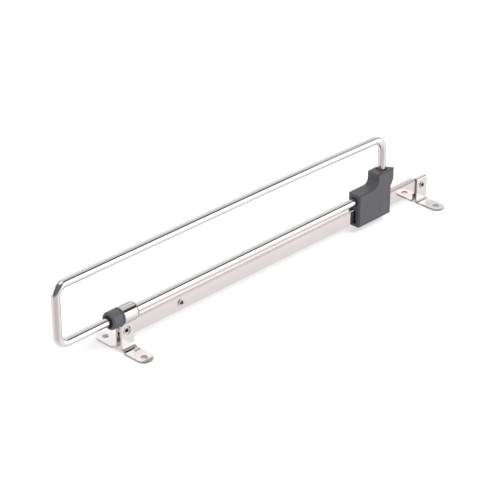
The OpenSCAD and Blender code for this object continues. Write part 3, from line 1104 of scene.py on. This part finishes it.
@dataclass(frozen=True)
class Bracket(Maker):
    """Punched steel strip, bent into a top, two legs and two feet."""

    finish: bpy.types.Material
    sizes: BracketSizes
    sheared_slope: float = 0.5
    # Painted shade on the legs' inner side low down and on the foot holes' walls, as shares of
    # darkening
    inner_side_shade: float = 0.8
    hole_wall_shade: float = 0.5
    round_facets: int = 32
    rim_facets: int = 3
    step_facets: int = 6
    rim_angle: float = 60
    bend_angle: float = 50
    bend_step: float = 5
    flat_angle: float = 0.01

    @property
    def box(self) -> Box:
        """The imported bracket's box."""
        return Box.of(self.sizes.node)

    @property
    def leg_in(self) -> float:
        """Distance from the rail's middle to the leg's inner face."""
        return STOCK.web_t / 2 + self.sizes.leg_gap

    def top(self) -> tuple[Point, list[Stretch], float]:
        """Gives the start of the route, the top's stretches and the height of the leg's top."""
        raise NotImplementedError

    def long_edges(self, foot_at: float) -> tuple[Outline, Outline]:
        """Gives the blank's front and rear edge as far as the foot, which starts at foot_at."""
        half = self.sizes.width / 2
        return Outline((0, -half)), Outline((0, half))

    def rivet_rings(self) -> list[float]:
        """Lists the radii of the rings round the rivet hole, from the widest in."""
        return [STOCK.rivet_hole_d / 2]

    def press(self, work: Work, rivet_at: float) -> None:
        """Presses forms into the flat blank; this bracket has none."""

    def build(self) -> bpy.types.Object:
        """Punches the blank, bends it and mirrors it.

        Returns:
            The bracket.
        """
        sizes = self.sizes
        rivet = Box.of(sizes.rivet).middle
        hole_x = self.box.high.x - sizes.width / 2 - sizes.foot_extra
        start, stretches, leg_top = self.top()
        bend_x = self.leg_in + sizes.strip_t + sizes.foot_bend_r
        bend_z = sizes.strip_t + sizes.foot_bend_r
        top_l = sum(stretch.length for stretch in stretches)
        leg = Stretch(leg_top - bend_z)
        foot_bend = Stretch.curve(sizes.strip_t + sizes.foot_bend_r, -90)
        foot = Stretch(hole_x - bend_x)
        route = Route(start, (*stretches, leg, foot_bend, foot))
        rivet_at = top_l + leg_top - rivet.z
        hole_at = top_l + leg.length + foot_bend.length + foot.length
        work = Work()
        foot_at = hole_at - foot.length
        below_web_at = rivet_at + rivet.z - Box.of("rail").low.z
        self.punch(work, self.long_edges(foot_at), hole_at, rivet_at)
        work.split([below_web_at, foot_at], ACROSS)
        self.mark_darkened(work, below_web_at, foot_at, hole_at)
        self.press(work, rivet_at)
        work.split(route.cuts(self.bend_step), ACROSS)
        for vert in work.mesh.verts:
            x, z = route.place(vert.co.x, vert.co.z)
            vert.co = Vector((x, vert.co.y + rivet.y, z))
        self.mirror(work)
        piece = work.done(sizes.name)
        finish_edges(piece, least=self.bend_angle)
        return fit(piece, sizes.node, Body.BASE, self.finish)

    def punch(self, work: Work, edges: tuple[Outline, Outline], hole_at: float,
              rivet_at: float) -> None:
        """Makes half the flat blank, from its middle to one rounded end.

        Args:
            work: an empty mesh.
            edges: the blank's front and rear edge as far as the foot.
            hole_at: distance to the foot hole.
            rivet_at: distance to the rivet hole.
        """
        sizes = self.sizes
        front, rear = edges
        front.arc((hole_at + sizes.foot_extra, 0), sizes.width / 2, -90, 90, self.round_facets)
        front.to(*reversed(rear.points))
        rings = self.rivet_rings()
        rim = work.loop([Vector((*point, 0)) for point in front.points])
        for at, radius in ((hole_at, sizes.hole_d / 2), (rivet_at, rings[0])):
            rim += work.circle(radius, self.round_facets, Matrix.Translation((at, 0, 0)))
        bmesh.ops.triangle_fill(work.mesh, use_beauty=True, use_dissolve=False, edges=rim)
        bmesh.ops.dissolve_limit(work.mesh, angle_limit=self.flat_angle, verts=work.mesh.verts,
                                 edges=work.mesh.edges)
        self.draw_in(work, rivet_at, rings)
        work.push(list(work.mesh.faces), UP * sizes.strip_t, keep=True)
        work.tidy()
        rims = [edge for edge in work.sharp_edges(self.rim_angle)
                if max(vert.co.x for vert in edge.verts) > WELD
                and abs(edge.verts[0].co.z - edge.verts[1].co.z) < WELD]
        work.round_edges(rims, sizes.rim_r, self.rim_facets)
        ends = [face for face in work.mesh.faces
                if all(vert.co.x < WELD for vert in face.verts)]
        bmesh.ops.delete(work.mesh, geom=ends, context="FACES")

    def mark_darkened(self, work: Work, below_web_at: float, foot_at: float,
                  hole_at: float) -> None:
        """Marks how much darker the blank's faces are: its sheared edges, and painted shade on the
        foot holes' walls and on its inner side low down.

        Args:
            work: the flat blank.
            below_web_at: distance to the place where the leg comes out below the web.
            foot_at: distance to the foot.
            hole_at: distance to the foot's hole.
        """
        darkened = work.mesh.faces.layers.float.new(DARKENED)
        hole, wall = Vector((hole_at, 0)), self.sizes.hole_d / 2 + self.sizes.rim_r
        for face in work.mesh.faces:
            middle = face.calc_center_median()
            if abs(face.normal.z) < self.sheared_slope:
                if (middle.xy - hole).length < wall:
                    face[darkened] = self.hole_wall_shade
                else:
                    face[darkened] = self.sizes.foot_rim if middle.x > foot_at else self.sizes.leg_rim
            elif middle.z < self.sizes.strip_t / 2 and middle.x > below_web_at:
                face[darkened] = self.inner_side_shade

    def draw_in(self, work: Work, at: float, radii: list[float]) -> None:
        """Draws the edge of a round hole in, ring by ring.

        Args:
            work: the flat blank.
            at: distance to the hole's middle.
            radii: the radii of the rings, the hole's present one first.
        """
        middle = Vector((at, 0, 0))
        ring = [edge for edge in work.mesh.edges if edge.is_boundary
                and all(abs((vert.co - middle).length - radii[0]) < WELD for vert in edge.verts)]
        for wider, radius in zip(radii, radii[1:]):
            ends, ring = work.draw(ring)
            bmesh.ops.scale(work.mesh, verts=ends, vec=Vector((radius, radius, 1)) / wider,
                            space=Matrix.Translation(-middle))

    def mirror(self, work: Work) -> None:
        """Adds the other half and joins it on the middle line."""
        half = [*work.mesh.verts, *work.mesh.edges, *work.mesh.faces]
        bmesh.ops.mirror(work.mesh, geom=half, axis="X", merge_dist=WELD)


@dataclass(frozen=True)
class FrontBracket(Bracket):
    """The bracket whose strip wraps the bush and is drawn in to a neck."""

    wrap_overhang: float = 2.3
    leg_setback: float = 1.4
    wrap_in_r: float = 6.65
    neck_across: float = 3 / 5
    neck_down: float = 4 / 5
    dimple_r: float = 4.6
    dimple_floor_r: float = 3.7
    dimple_steps: int = 5

    def top(self) -> tuple[Point, list[Stretch], float]:
        """Wraps the bush, then turns out of the neck into the leg.

        Returns:
            The route's start, its stretches and the height of the leg's top.
        """
        strip_t = self.sizes.strip_t
        wire_z = wire_height()
        out_r = self.wrap_in_r + strip_t
        neck_r = ((out_r * self.neck_across - self.leg_in - strip_t)
                  / (1 - self.neck_across))
        degrees = math.degrees(math.atan2(self.neck_down, self.neck_across))
        wrap = Stretch.curve(self.wrap_in_r, 90 + degrees)
        neck = Stretch.curve(neck_r + strip_t, -degrees)
        leg_top = wire_z - (out_r + neck_r) * self.neck_down
        return (0, wire_z + self.wrap_in_r), [wrap, neck], leg_top

    def long_edges(self, foot_at: float) -> tuple[Outline, Outline]:
        """Steps the wrap and the leg back at the front, and the wrap out at the rear.

        Args:
            foot_at: where the foot starts along the strip.

        Returns:
            The front and the rear edge of the blank as far as the foot.
        """
        _, stretches, _ = self.top()
        top_l = sum(stretch.length for stretch in stretches)
        half, r, steps = self.sizes.width / 2, self.sizes.step_r, self.step_facets
        rear_y = half + self.wrap_overhang
        front_y = rear_y - STOCK.wrap_w
        leg_y = self.leg_setback - half
        front = Outline((0, front_y)).arc((top_l - r, front_y - r), r, 90, 0, steps)
        front.to((top_l, leg_y)).arc((foot_at - r, leg_y - r), r, 90, 0, steps)
        rear = Outline((0, rear_y)).arc((top_l - r, rear_y - r), r, 90, 0, steps)
        return front.to((foot_at, -half)), rear.arc((top_l + r, half + r), r, 180, 270, steps)

    def rivet_rings(self) -> list[float]:
        """Lists the rings of the dimple's wall, its floor's edge and the rivet hole."""
        wall = self.dimple_r - self.dimple_floor_r
        return [self.dimple_r - wall * step / self.dimple_steps
                for step in range(self.dimple_steps + 1)] + super().rivet_rings()

    def press(self, work: Work, rivet_at: float) -> None:
        """Presses the dimple that brings the leg onto the web at the rivet.

        Args:
            work: the flat blank.
            rivet_at: distance to the rivet hole.
        """
        middle = Vector((rivet_at, 0))
        for vert in work.mesh.verts:
            away = (vert.co.xy - middle).length
            share = held((self.dimple_r - away) / (self.dimple_r - self.dimple_floor_r))
            vert.co.z -= self.sizes.leg_gap * share * share * (3 - 2 * share)


@dataclass(frozen=True)
class RearBracket(Bracket):
    """The bracket whose strip is folded over the web's rear end."""

    bend_r: float = 0.4

    def top(self) -> tuple[Point, list[Stretch], float]:
        """Folds the strip over the web with a flat top.

        Returns:
            The route's start, its stretches and the height of the leg's top.
        """
        top_z = self.box.high.z - self.sizes.strip_t
        flat = Stretch(self.leg_in - self.bend_r)
        return (0, top_z), [flat, Stretch.curve(self.bend_r, 90)], top_z - self.bend_r


@dataclass(frozen=True)
class Rivet(Maker):
    """Tubular rivet whose ends are rolled over into heads."""

    node: str
    finish: bpy.types.Material
    shank_d: float = 4.2
    bore_d: float = 2.8
    head_t: float = 0.9
    mouth_d: float = 4.8
    roll_facets: int = 10
    mouth_facets: int = 6

    def build(self) -> bpy.types.Object:
        """Turns the rivet.

        Returns:
            The rivet.
        """
        box = Box.of(self.node)
        grip = box.size.x / 2 - self.head_t
        roll = self.head_t / 2
        rim = box.size.z / 2 - roll
        bore = self.bore_d / 2
        half = Outline((0, self.shank_d / 2), (grip, self.shank_d / 2))
        half.arc((grip + roll, rim), roll, 180, 0, self.roll_facets)
        half.to((box.size.x / 2, self.mouth_d / 2))
        half.flare((grip + roll, bore), (grip, bore), self.mouth_facets)
        mirrored = [(-along, radius) for along, radius in reversed(half.points[1:])]
        work = Work()
        work.turn(half.to(*mirrored), Matrix.Translation(box.middle), ROUND_FACETS)
        self.mark_bore_shade(work, box.middle)
        piece = work.done("rolled_" + self.node)
        finish_edges(piece)
        return fit(piece, self.node, Body.BASE, self.finish)

    def mark_bore_shade(self, work: Work, middle: Vector) -> None:
        """Marks the faces of the bore and of its flared mouths for painted shade, which darkens
        them.

        Args:
            work: the turned rivet.
            middle: the rivet's middle.
        """
        darkened = work.mesh.faces.layers.float.new(DARKENED)
        for face in work.mesh.faces:
            away = (face.calc_center_median() - middle).yz.length
            if away < self.shank_d / 2 - WELD:
                # Painted shade in the bore and its flared mouths
                face[darkened] = 1.0


@dataclass(frozen=True)
class GuideBush(Maker):
    """Moulded bush: collar with a flared mouth and a groove, sleeve, and snap lip."""

    finish: bpy.types.Material
    collar_l: float = 13.4
    sleeve_d: float = 13.2
    bore_d: float = 8.2
    mouth_d: float = 12
    mouth_depth: float = 4.6
    rim_r: float = 1.8
    rear_rim_r: float = 0.5
    groove_at: float = 2.6
    groove_w: float = 0.9
    groove_depth: float = 0.7
    lip_step: float = 1.2
    lip_chamfer: float = 0.3
    facets: int = 72
    rim_facets: int = 8
    rear_rim_facets: int = 4

    def build(self) -> bpy.types.Object:
        """Turns the bush's section round the wire.

        Returns:
            The bush.
        """
        box = Box.of("guide_bush")
        collar_r = box.size.z / 2
        sleeve_r, bore_r, mouth_r = self.sleeve_d / 2, self.bore_d / 2, self.mouth_d / 2
        lip_at = self.collar_l + STOCK.wrap_w
        groove = self.collar_l - self.groove_at
        section = Outline()
        section.arc((self.rim_r, collar_r - self.rim_r), self.rim_r, 180, 90, self.rim_facets)
        section.to((groove - self.groove_depth / 2, collar_r),
                   (groove, collar_r - self.groove_depth),
                   (groove + self.groove_w, collar_r - self.groove_depth),
                   (groove + self.groove_w + self.groove_depth / 2, collar_r))
        section.arc((self.collar_l - self.rear_rim_r, collar_r - self.rear_rim_r),
                    self.rear_rim_r, 90, 0, self.rear_rim_facets)
        section.to((self.collar_l, sleeve_r), (lip_at, sleeve_r),
                   (lip_at, sleeve_r + self.lip_step),
                   (box.size.y - self.lip_chamfer, sleeve_r + self.lip_step),
                   (box.size.y, sleeve_r), (box.size.y, bore_r))
        section.to((self.mouth_depth, bore_r))
        section.flare((self.mouth_depth / 2, mouth_r), (0, mouth_r), self.rim_facets)
        work = Work()
        place = Matrix.Translation((0, box.low.y, box.middle.z))
        work.turn(section, place @ Matrix.Rotation(QUARTER_TURN, 4, "Z"), self.facets)
        piece = work.done("moulded_bush")
        finish_edges(piece)
        return fit(piece, "guide_bush", Body.BASE, self.finish)


@dataclass(frozen=True)
class Carriage(Maker):
    """Moulded carriage: a body that runs on the flange, and a tower that holds the wire."""

    finish: bpy.types.Material
    body_l: float = 46.4
    body_top_z: float = 43
    tower_l: float = 23.3
    tower_rear_h: float = 12.2
    slope_h: float = 7.1
    hollow_r: float = 6.5
    corner_r: float = 1
    cut_l: float = 8.9
    cut_w: float = 13.4
    panel_rise: float = 0.5
    panel_border: float = 1.4
    fit_gap: float = 0.05
    wire_recess_d: float = 9.6
    recess_depth: float = 3
    web_recess_w: float = 4.6
    leg_mouth_d: float = 10.4
    leg_mouth_depth: float = 3.2
    slit_w: float = 1.2
    slit_depth: float = 9
    edge_r: float = 0.45
    edge_facets: int = 3
    edge_angle: float = 30
    hollow_facets: int = 12
    corner_facets: int = 5
    square: float = 0.99
    overrun: float = 1

    def side_view(self, box: Box) -> Outline:
        """Draws the carriage's side, along the rail and in height.

        Args:
            box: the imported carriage's box.

        Returns:
            The outline.
        """
        rear_y = box.low.y + self.body_l
        tower_y = box.high.y - self.tower_l
        over_z = box.high.z - self.tower_rear_h
        outline = Outline((box.low.y, box.low.z), (rear_y, box.low.z),
                          (rear_y, over_z - self.slope_h), (box.high.y, over_z),
                          (box.high.y, box.high.z), (tower_y, box.high.z))
        outline.arc((tower_y - self.hollow_r, self.body_top_z + self.hollow_r), self.hollow_r,
                    0, -90, self.hollow_facets)
        return outline.to((box.low.y, self.body_top_z))

    def mould(self, box: Box) -> Work:
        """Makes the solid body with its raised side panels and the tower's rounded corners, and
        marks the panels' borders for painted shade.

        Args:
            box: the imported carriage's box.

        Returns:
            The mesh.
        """
        core_x = box.high.x - self.panel_rise
        # Takes the outline's X along the rail and its Y up, at the left side
        place = Matrix(((0, 0, 1, -core_x), (1, 0, 0, 0), (0, 1, 0, 0), (0, 0, 0, 1)))
        work = Work()
        work.plate(self.side_view(box), place, ACROSS * (2 * core_x))
        work.tidy()
        tower_y = box.high.y - self.tower_l
        upright = [edge for edge in work.mesh.edges
                   if all(abs(vert.co.y - tower_y) < WELD for vert in edge.verts)
                   and edge.verts[0].co.x * edge.verts[1].co.x > 0
                   and abs(edge.verts[0].co.z - edge.verts[1].co.z) > self.hollow_r]
        work.round_edges(upright, self.corner_r, self.corner_facets)
        # Painted shade: the panels' borders are marked to come out darker, as shade round the
        # raised panels
        darkened = work.mesh.faces.layers.float.new(DARKENED)
        for side in (-1, 1):
            flank = [face for face in work.mesh.faces if face.normal.x * side > self.square]
            border = bmesh.ops.inset_region(work.mesh, faces=flank, thickness=self.panel_border,
                                            use_even_offset=True, use_boundary=True)["faces"]
            for face in border:
                face[darkened] = 1.0
            work.push(flank, ACROSS * (side * self.panel_rise))
        return work

    def cutters(self, box: Box) -> list[bpy.types.Object]:
        """Makes the tools that cut the slot, the recesses, the bores and the slit.

        Args:
            box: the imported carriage's box.

        Returns:
            Closed solids for cut_away.
        """
        wire = Box.of("wire_loop")
        rail = Box.of("rail")
        wire_r = wire.size.x / 2
        bore_d = 2 * (wire_r + self.fit_gap)
        leg_y = wire.high.y - wire_r
        gap, over, wall = STOCK.slide_gap, self.overrun, STOCK.end_wall
        front_y, rear_y = box.low.y - over, box.high.y + over
        wire_front = Vector((0, front_y, wire_height()))
        low_z = rail.low.z - gap
        slot_low = rail.high.z - STOCK.flange_t - gap
        web_x = STOCK.web_t / 2 + gap
        tools = [
            mill(Vector((-rail.high.x - gap, front_y, slot_low)),
                 Vector((rail.high.x + gap, rear_y, rail.high.z + gap))),
            mill(Vector((-web_x, front_y, low_z)), Vector((web_x, rear_y, rail.high.z))),
            mill(Vector((-self.web_recess_w / 2, front_y, low_z)),
                 Vector((self.web_recess_w / 2, box.low.y + self.recess_depth,
                         slot_low - wall))),
            drill(wire_front, ALONG, self.wire_recess_d, over + self.recess_depth),
            drill(wire_front, ALONG, bore_d, leg_y - wire_r - wall - front_y),
            drill(Vector((0, leg_y, rail.high.z + gap + wall)), UP, bore_d, box.size.z),
            self.leg_mouth(leg_y, box.high.z, wire_r),
            mill(Vector((box.low.x - over, leg_y - self.slit_w / 2,
                         box.high.z - self.slit_depth)),
                 Vector((0, leg_y + self.slit_w / 2, box.high.z + over))),
            self.corner_slant(box)]
        for node in PINS:
            pin = Box.of(node)
            tools.append(drill(Vector((box.low.x - over, pin.middle.y, pin.middle.z)), ACROSS,
                               pin.size.z + 2 * self.fit_gap, pin.high.x - box.low.x + over))
        return tools

    def leg_mouth(self, leg_y: float, top_z: float, wire_r: float) -> bpy.types.Object:
        """Makes the countersink round the rear leg, run on above the tower.

        Args:
            leg_y: where the leg stands along the rail.
            top_z: height of the tower's top.
            wire_r: the wire's radius.

        Returns:
            A closed solid for cut_away.
        """
        work = Work()
        slope = (self.leg_mouth_d / 2 - wire_r - self.fit_gap) / self.leg_mouth_depth
        depth = self.leg_mouth_depth + self.overrun
        bmesh.ops.create_cone(
            work.mesh, cap_ends=True, cap_tris=False, segments=ROUND_FACETS, radius1=wire_r,
            radius2=self.leg_mouth_d / 2 + slope * self.overrun, depth=depth,
            matrix=Matrix.Translation((0, leg_y, top_z + self.overrun - depth / 2)))
        return work.done("countersink")

    def corner_slant(self, box: Box) -> bpy.types.Object:
        """Makes the wedge that slants the tower's left rear corner.

        Args:
            box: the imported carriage's box.

        Returns:
            A closed solid for cut_away.
        """
        left, over = box.low.x, self.overrun
        front_y = box.high.y - self.cut_l
        slope = self.cut_l / self.cut_w
        outline = Outline((left - over, front_y - over * slope),
                          (left + self.cut_w + over, box.high.y + over * slope),
                          (left - over, box.high.y + over * slope))
        work = Work()
        work.plate(outline, Matrix.Translation((0, 0, self.body_top_z)),
                   UP * (box.high.z - self.body_top_z + over))
        return work.done("wedge")

    def build(self) -> bpy.types.Object:
        """Moulds the carriage and cuts it.

        Returns:
            The carriage.
        """
        box = Box.of("carriage")
        piece = self.mould(box).done("moulded_carriage")
        cut_away(piece, self.cutters(box))
        finish_edges(piece, self.edge_r, self.edge_facets, self.edge_angle)
        return fit(piece, "carriage", Body.SLIDER, self.finish)


@dataclass(frozen=True)
class SpringPin(Maker):
    """Slotted pin of rolled spring steel that locks one end of the wire."""

    node: str
    finish: bpy.types.Material
    bore_d: float = 1.4
    chamfer: float = 0.4
    slot_degrees: float = 28
    facets: int = 40

    def build(self) -> bpy.types.Object:
        """Rolls the pin and closes the two faces of its slot.

        Returns:
            The pin.
        """
        box = Box.of(self.node)
        half_l, radius, bore = box.size.x / 2, box.size.z / 2, self.bore_d / 2
        section = Outline((-half_l, bore), (half_l, bore), (half_l, radius - self.chamfer),
                          (half_l - self.chamfer, radius), (self.chamfer - half_l, radius),
                          (-half_l, radius - self.chamfer))
        work = Work()
        work.turn(section, Matrix.Translation(box.middle), self.facets,
                  math.radians(360 - self.slot_degrees))
        open_edges = [edge for edge in work.mesh.edges if edge.is_boundary]
        bmesh.ops.holes_fill(work.mesh, edges=open_edges, sides=0)
        piece = work.done("slotted_" + self.node)
        finish_edges(piece)
        return fit(piece, self.node, Body.SLIDER, self.finish)


# Studio


@dataclass(frozen=True)
class Camera:
    """The photograph's viewpoint, fitted to the part's edges and holes."""

    place: Triple = (1.13107, -1.15492, 0.91848)
    forward: Triple = (-0.6158, 0.6250, -0.4798)
    up: Triple = (-0.3368, 0.3418, 0.8774)
    lens: float = 143.38
    sensor: float = 36
    nearest: float = 0.05
    farthest: float = 50

    def build(self) -> None:
        """Sets the camera up."""
        back = -Vector(self.forward).normalized()
        right = Vector(self.up).cross(back).normalized()
        up = back.cross(right)
        turn = Matrix((right, up, back)).transposed()
        data = bpy.data.cameras.new("camera")
        data.lens = self.lens
        data.sensor_width = self.sensor
        data.clip_start = self.nearest
        data.clip_end = self.farthest
        camera = bpy.data.objects.new("camera", data)
        camera.matrix_world = Matrix.Translation(self.place) @ turn.to_4x4()
        bpy.context.scene.collection.objects.link(camera)
        bpy.context.scene.camera = camera


@dataclass(frozen=True)
class Floor:
    """Plain pale floor in metres, with painted shade where it shows through a screw hole.

    It glows a little to the camera so that it comes out white. The places of the screw holes and
    their edge are in millimetres.
    """

    screw_holes: tuple[Triple, ...] = (
        (25.4, -164.4, 0), (-25.4, -164.4, 0), (21.9, 235.6, 0), (-21.9, 235.6, 0))
    hole_edge: Fade = Fade(3.0, 3.6)
    hole_shade: float = 0.8
    size: float = 12
    squares: int = 8
    drop: float = 0.0002
    tone: float = 0.86
    mottled: float = 0.99
    mottling: Noise = Noise(3)
    glow: float = 0.4

    def build(self) -> None:
        """Lays the floor."""
        work = Work()
        bmesh.ops.create_grid(work.mesh, x_segments=self.squares, y_segments=self.squares,
                              size=self.size / 2 / MM,
                              matrix=Matrix.Translation((0, 0, -self.drop / MM)))
        floor = work.done("floor")
        floor.data.materials.append(self.material())
        floor.visible_glossy = False

    def material(self) -> bpy.types.Material:
        """Builds the floor's material.

        Returns:
            The finished material.
        """
        material, nodes = blank_material("pale_floor")
        at = nodes.object_place()
        lit = self.outside_holes(nodes, at)
        colour = nodes.tint(nodes.noise(at, self.mottling), (self.tone * self.mottled,) * 3,
                            (self.tone,) * 3)
        shade = nodes.fade(lit, Fade(0, 1, self.hole_shade, 1))
        diffuse = nodes.add("BsdfDiffuse", {"Color": nodes.scaled(colour, shade)})
        glow = nodes.add("Emission", {"Color": WHITE,
                                      "Strength": nodes.fade(lit, Fade(0, 1, 0, self.glow))})
        both = nodes.add("AddShader", {0: diffuse.outputs[0], 1: glow.outputs[0]})
        seen = nodes.add("LightPath").outputs["Is Camera Ray"]
        mix = nodes.add("MixShader", {0: seen, 1: diffuse.outputs[0], 2: both.outputs[0]})
        nodes.add("OutputMaterial", {"Surface": mix.outputs[0]})
        return material

    def outside_holes(self, nodes: Nodes, at: Socket) -> Socket:
        """Tells the floor that shows through the screw holes from the open floor.

        Args:
            nodes: the floor's node tree.
            at: object coordinates.

        Returns:
            Zero inside the holes and one outside.
        """
        outside = None
        for place in self.screw_holes:
            away = nodes.vector("DISTANCE", at, Vector(place) * MM).outputs["Value"]
            clear = nodes.fade(away, self.hole_edge.in_metres())
            outside = clear if outside is None else nodes.math("MULTIPLY", outside, clear)
        return outside


@dataclass(frozen=True)
class Room:
    """What the bright metal mirrors, and the even daylight on everything else.

    The panels are brightnesses against the angle round the rail's direction, in degrees: from
    straight left through below, right and above. The fades run over the parts of a direction of
    length one: X to the right, Y to the rear and Z up.
    """

    panels: tuple[Point, ...] = (
        (-180, 0.62), (-140, 0.6), (-85, 0.58), (-64, 0.62), (-56, 0.98), (-45, 0.88), (-30, 0.88),
        (-18, 1.15), (20, 1.2), (30, 1.7), (42, 1.7), (46, 0.04), (74, 0.04), (82, 0.58),
        (126, 0.62), (136, 1.06), (148, 1.06), (156, 0.64))
    # From this far to the rear, the panels are at least this bright
    rear_lift: Fade = Fade(0.662, 0.678, 0, 0.36)
    # The floor in front, which greys from its sides towards the camera
    floor_below: Fade = Fade(-0.4, -0.2, 1, 0)
    floor_near: Fade = Fade(0.42, 0.58, 1, 0)
    floor_facing: Triple = (0.7, -0.71, 0)
    floor_turn: Fade = Fade(0.1, 0.85)
    floor_side: Triple = (0.8, 0.77, 0.77)
    floor_middle: Triple = (0.6, 0.55, 0.555)
    # The dark room in front, with things in it, a window at the left and a lamp overhead
    front_near: Fade = Fade(0.12, 0.32, 1, 0)
    front_above: Fade = Fade(-0.4, -0.1)
    things: Noise = Noise(7, 2)
    things_dark: float = 0.05
    things_light: float = 0.24
    window_left: Fade = Fade(-0.5, -0.35, 1, 0)
    window_below: Fade = Fade(0.54, 0.64, 1, 0)
    lamp_above: Fade = Fade(0.88, 0.93)
    lamp_behind: Fade = Fade(-0.3, -0.2)
    lamp_light: float = 1.1
    # Daylight, weaker from the left and from the front
    daylight: float = 0.8
    daylight_across: Fade = Fade(-0.7, 0.7, 0.6, 1.0)
    daylight_along: Fade = Fade(-0.8, 0.3, 0.8, 1.0)

    def build(self) -> None:
        """Sets the world up: the room for the metal, daylight, and white for the camera."""
        world = bpy.data.worlds.new("studio")
        bpy.context.scene.world = world
        world.use_nodes = True
        world.cycles.sampling_method = "NONE"
        nodes = Nodes(world.node_tree)
        way = nodes.add("TexCoord").outputs["Generated"]
        parts = nodes.split(way)
        shown = self.dark_front(nodes, way, parts, self.panelled(nodes, way, parts))
        mirrored = nodes.add("Background", {"Color": shown, "Strength": 1.0})
        level = nodes.math("MULTIPLY", nodes.fade(parts[0], self.daylight_across),
                           nodes.fade(parts[1], self.daylight_along))
        lit = nodes.math("MULTIPLY", level, self.daylight)
        daylight = nodes.add("Background", {"Color": WHITE, "Strength": lit})
        white = nodes.add("Background", {"Color": WHITE, "Strength": 1.0})
        path = nodes.add("LightPath").outputs
        metal = nodes.math("MAXIMUM", path["Is Glossy Ray"], path["Is Transmission Ray"])
        first = nodes.add("MixShader", {0: metal, 1: daylight.outputs[0], 2: mirrored.outputs[0]})
        last = nodes.add("MixShader", {0: path["Is Camera Ray"], 1: first.outputs[0],
                                       2: white.outputs[0]})
        nodes.add("OutputWorld", {"Surface": last.outputs[0]})

    def panelled(self, nodes: Nodes, way: Socket, parts: list[Socket]) -> Socket:
        """Hangs bright and dark panels round the rail, over a grey floor in front.

        Args:
            nodes: the world's node tree.
            way: the mirrored direction.
            parts: its X, Y and Z.

        Returns:
            What the metal mirrors but for the dark room in front.
        """
        x, y, z = parts
        stops = tuple((math.radians(degrees), level) for degrees, level in self.panels)
        panels = nodes.ramp(nodes.math("ARCTAN2", z, x), stops, -math.pi, math.pi)
        lifted = nodes.vector("MAXIMUM", panels, nodes.fade(y, self.rear_lift)).outputs["Vector"]
        floor = nodes.math("MULTIPLY", nodes.fade(z, self.floor_below),
                           nodes.fade(y, self.floor_near))
        toward = nodes.vector("DOT_PRODUCT", way, self.floor_facing).outputs["Value"]
        grey = nodes.tint(nodes.fade(toward, self.floor_turn), self.floor_side,
                          self.floor_middle)
        return nodes.mixed(floor, lifted, grey)

    def dark_front(self, nodes: Nodes, way: Socket, parts: list[Socket],
                   shown: Socket) -> Socket:
        """Darkens the room in front, but for a lamp overhead and a window at the left.

        Args:
            nodes: the world's node tree.
            way: the mirrored direction.
            parts: its X, Y and Z.
            shown: what the metal mirrors elsewhere.

        Returns:
            What the metal mirrors in every direction.
        """
        x, y, z = parts
        front = nodes.math("MULTIPLY", nodes.fade(y, self.front_near),
                           nodes.fade(z, self.front_above))
        window = nodes.math("MINIMUM", nodes.fade(x, self.window_left),
                            nodes.fade(z, self.window_below))
        lamp = nodes.math("MINIMUM", nodes.fade(z, self.lamp_above),
                          nodes.fade(y, self.lamp_behind))
        things = nodes.fade(nodes.noise(way, self.things),
                            Fade(*NOISE_RANGE, self.things_dark, self.things_light))
        room = nodes.mixed(nodes.math("MAXIMUM", lamp, window), things,
                           (*(self.lamp_light,) * 3, 1))
        return nodes.mixed(front, shown, room)


@dataclass(frozen=True)
class Lamp:
    """One soft square lamp that looks at the part, in metres and watts."""

    place: Triple = (1.1, 0.2, 1.5)
    side: float = 1.0
    watts: float = 17

    def build(self) -> None:
        """Hangs the lamp, which the metal doesn't mirror."""
        data = bpy.data.lights.new("key", "AREA")
        data.size = self.side
        data.energy = self.watts
        lamp = bpy.data.objects.new("key", data)
        lamp.location = self.place
        lamp.rotation_euler = (-Vector(self.place)).to_track_quat("-Z", "Y").to_euler()
        lamp.visible_glossy = False
        bpy.context.scene.collection.objects.link(lamp)


def main() -> None:
    """Builds the studio and then the pieces in order, and reports each."""
    logging.basicConfig(level=logging.INFO, format="%(message)s")
    for stage in (Camera(), Floor(), Room(), Lamp()):
        stage.build()
        log.info("%s is set up", type(stage).__name__)
    bpy.context.scene.view_settings.view_transform = "Standard"
    wire, rail, strip = WIRE_CHROME.make(), RAIL_CHROME.make(), STRIP_CHROME.make()
    rivet, pin = RIVET_STEEL.make(), PIN_STEEL.make()
    makers: list[Maker] = [
        WireLoop(wire), Rail(rail), FrontBracket(strip, FRONT_SIZES),
        RearBracket(strip, REAR_SIZES), *(Rivet(node, rivet) for node in RIVETS),
        *(SpringPin(node, pin) for node in PINS), Carriage(CARRIAGE_PLASTIC.make()),
        GuideBush(BUSH_PLASTIC.make())]
    for maker in makers:
        piece = maker.build()
        log.info("%s: %s with %d faces", type(maker).__name__, piece.name,
                 len(piece.data.polygons))


if __name__ == "__main__":
    main()
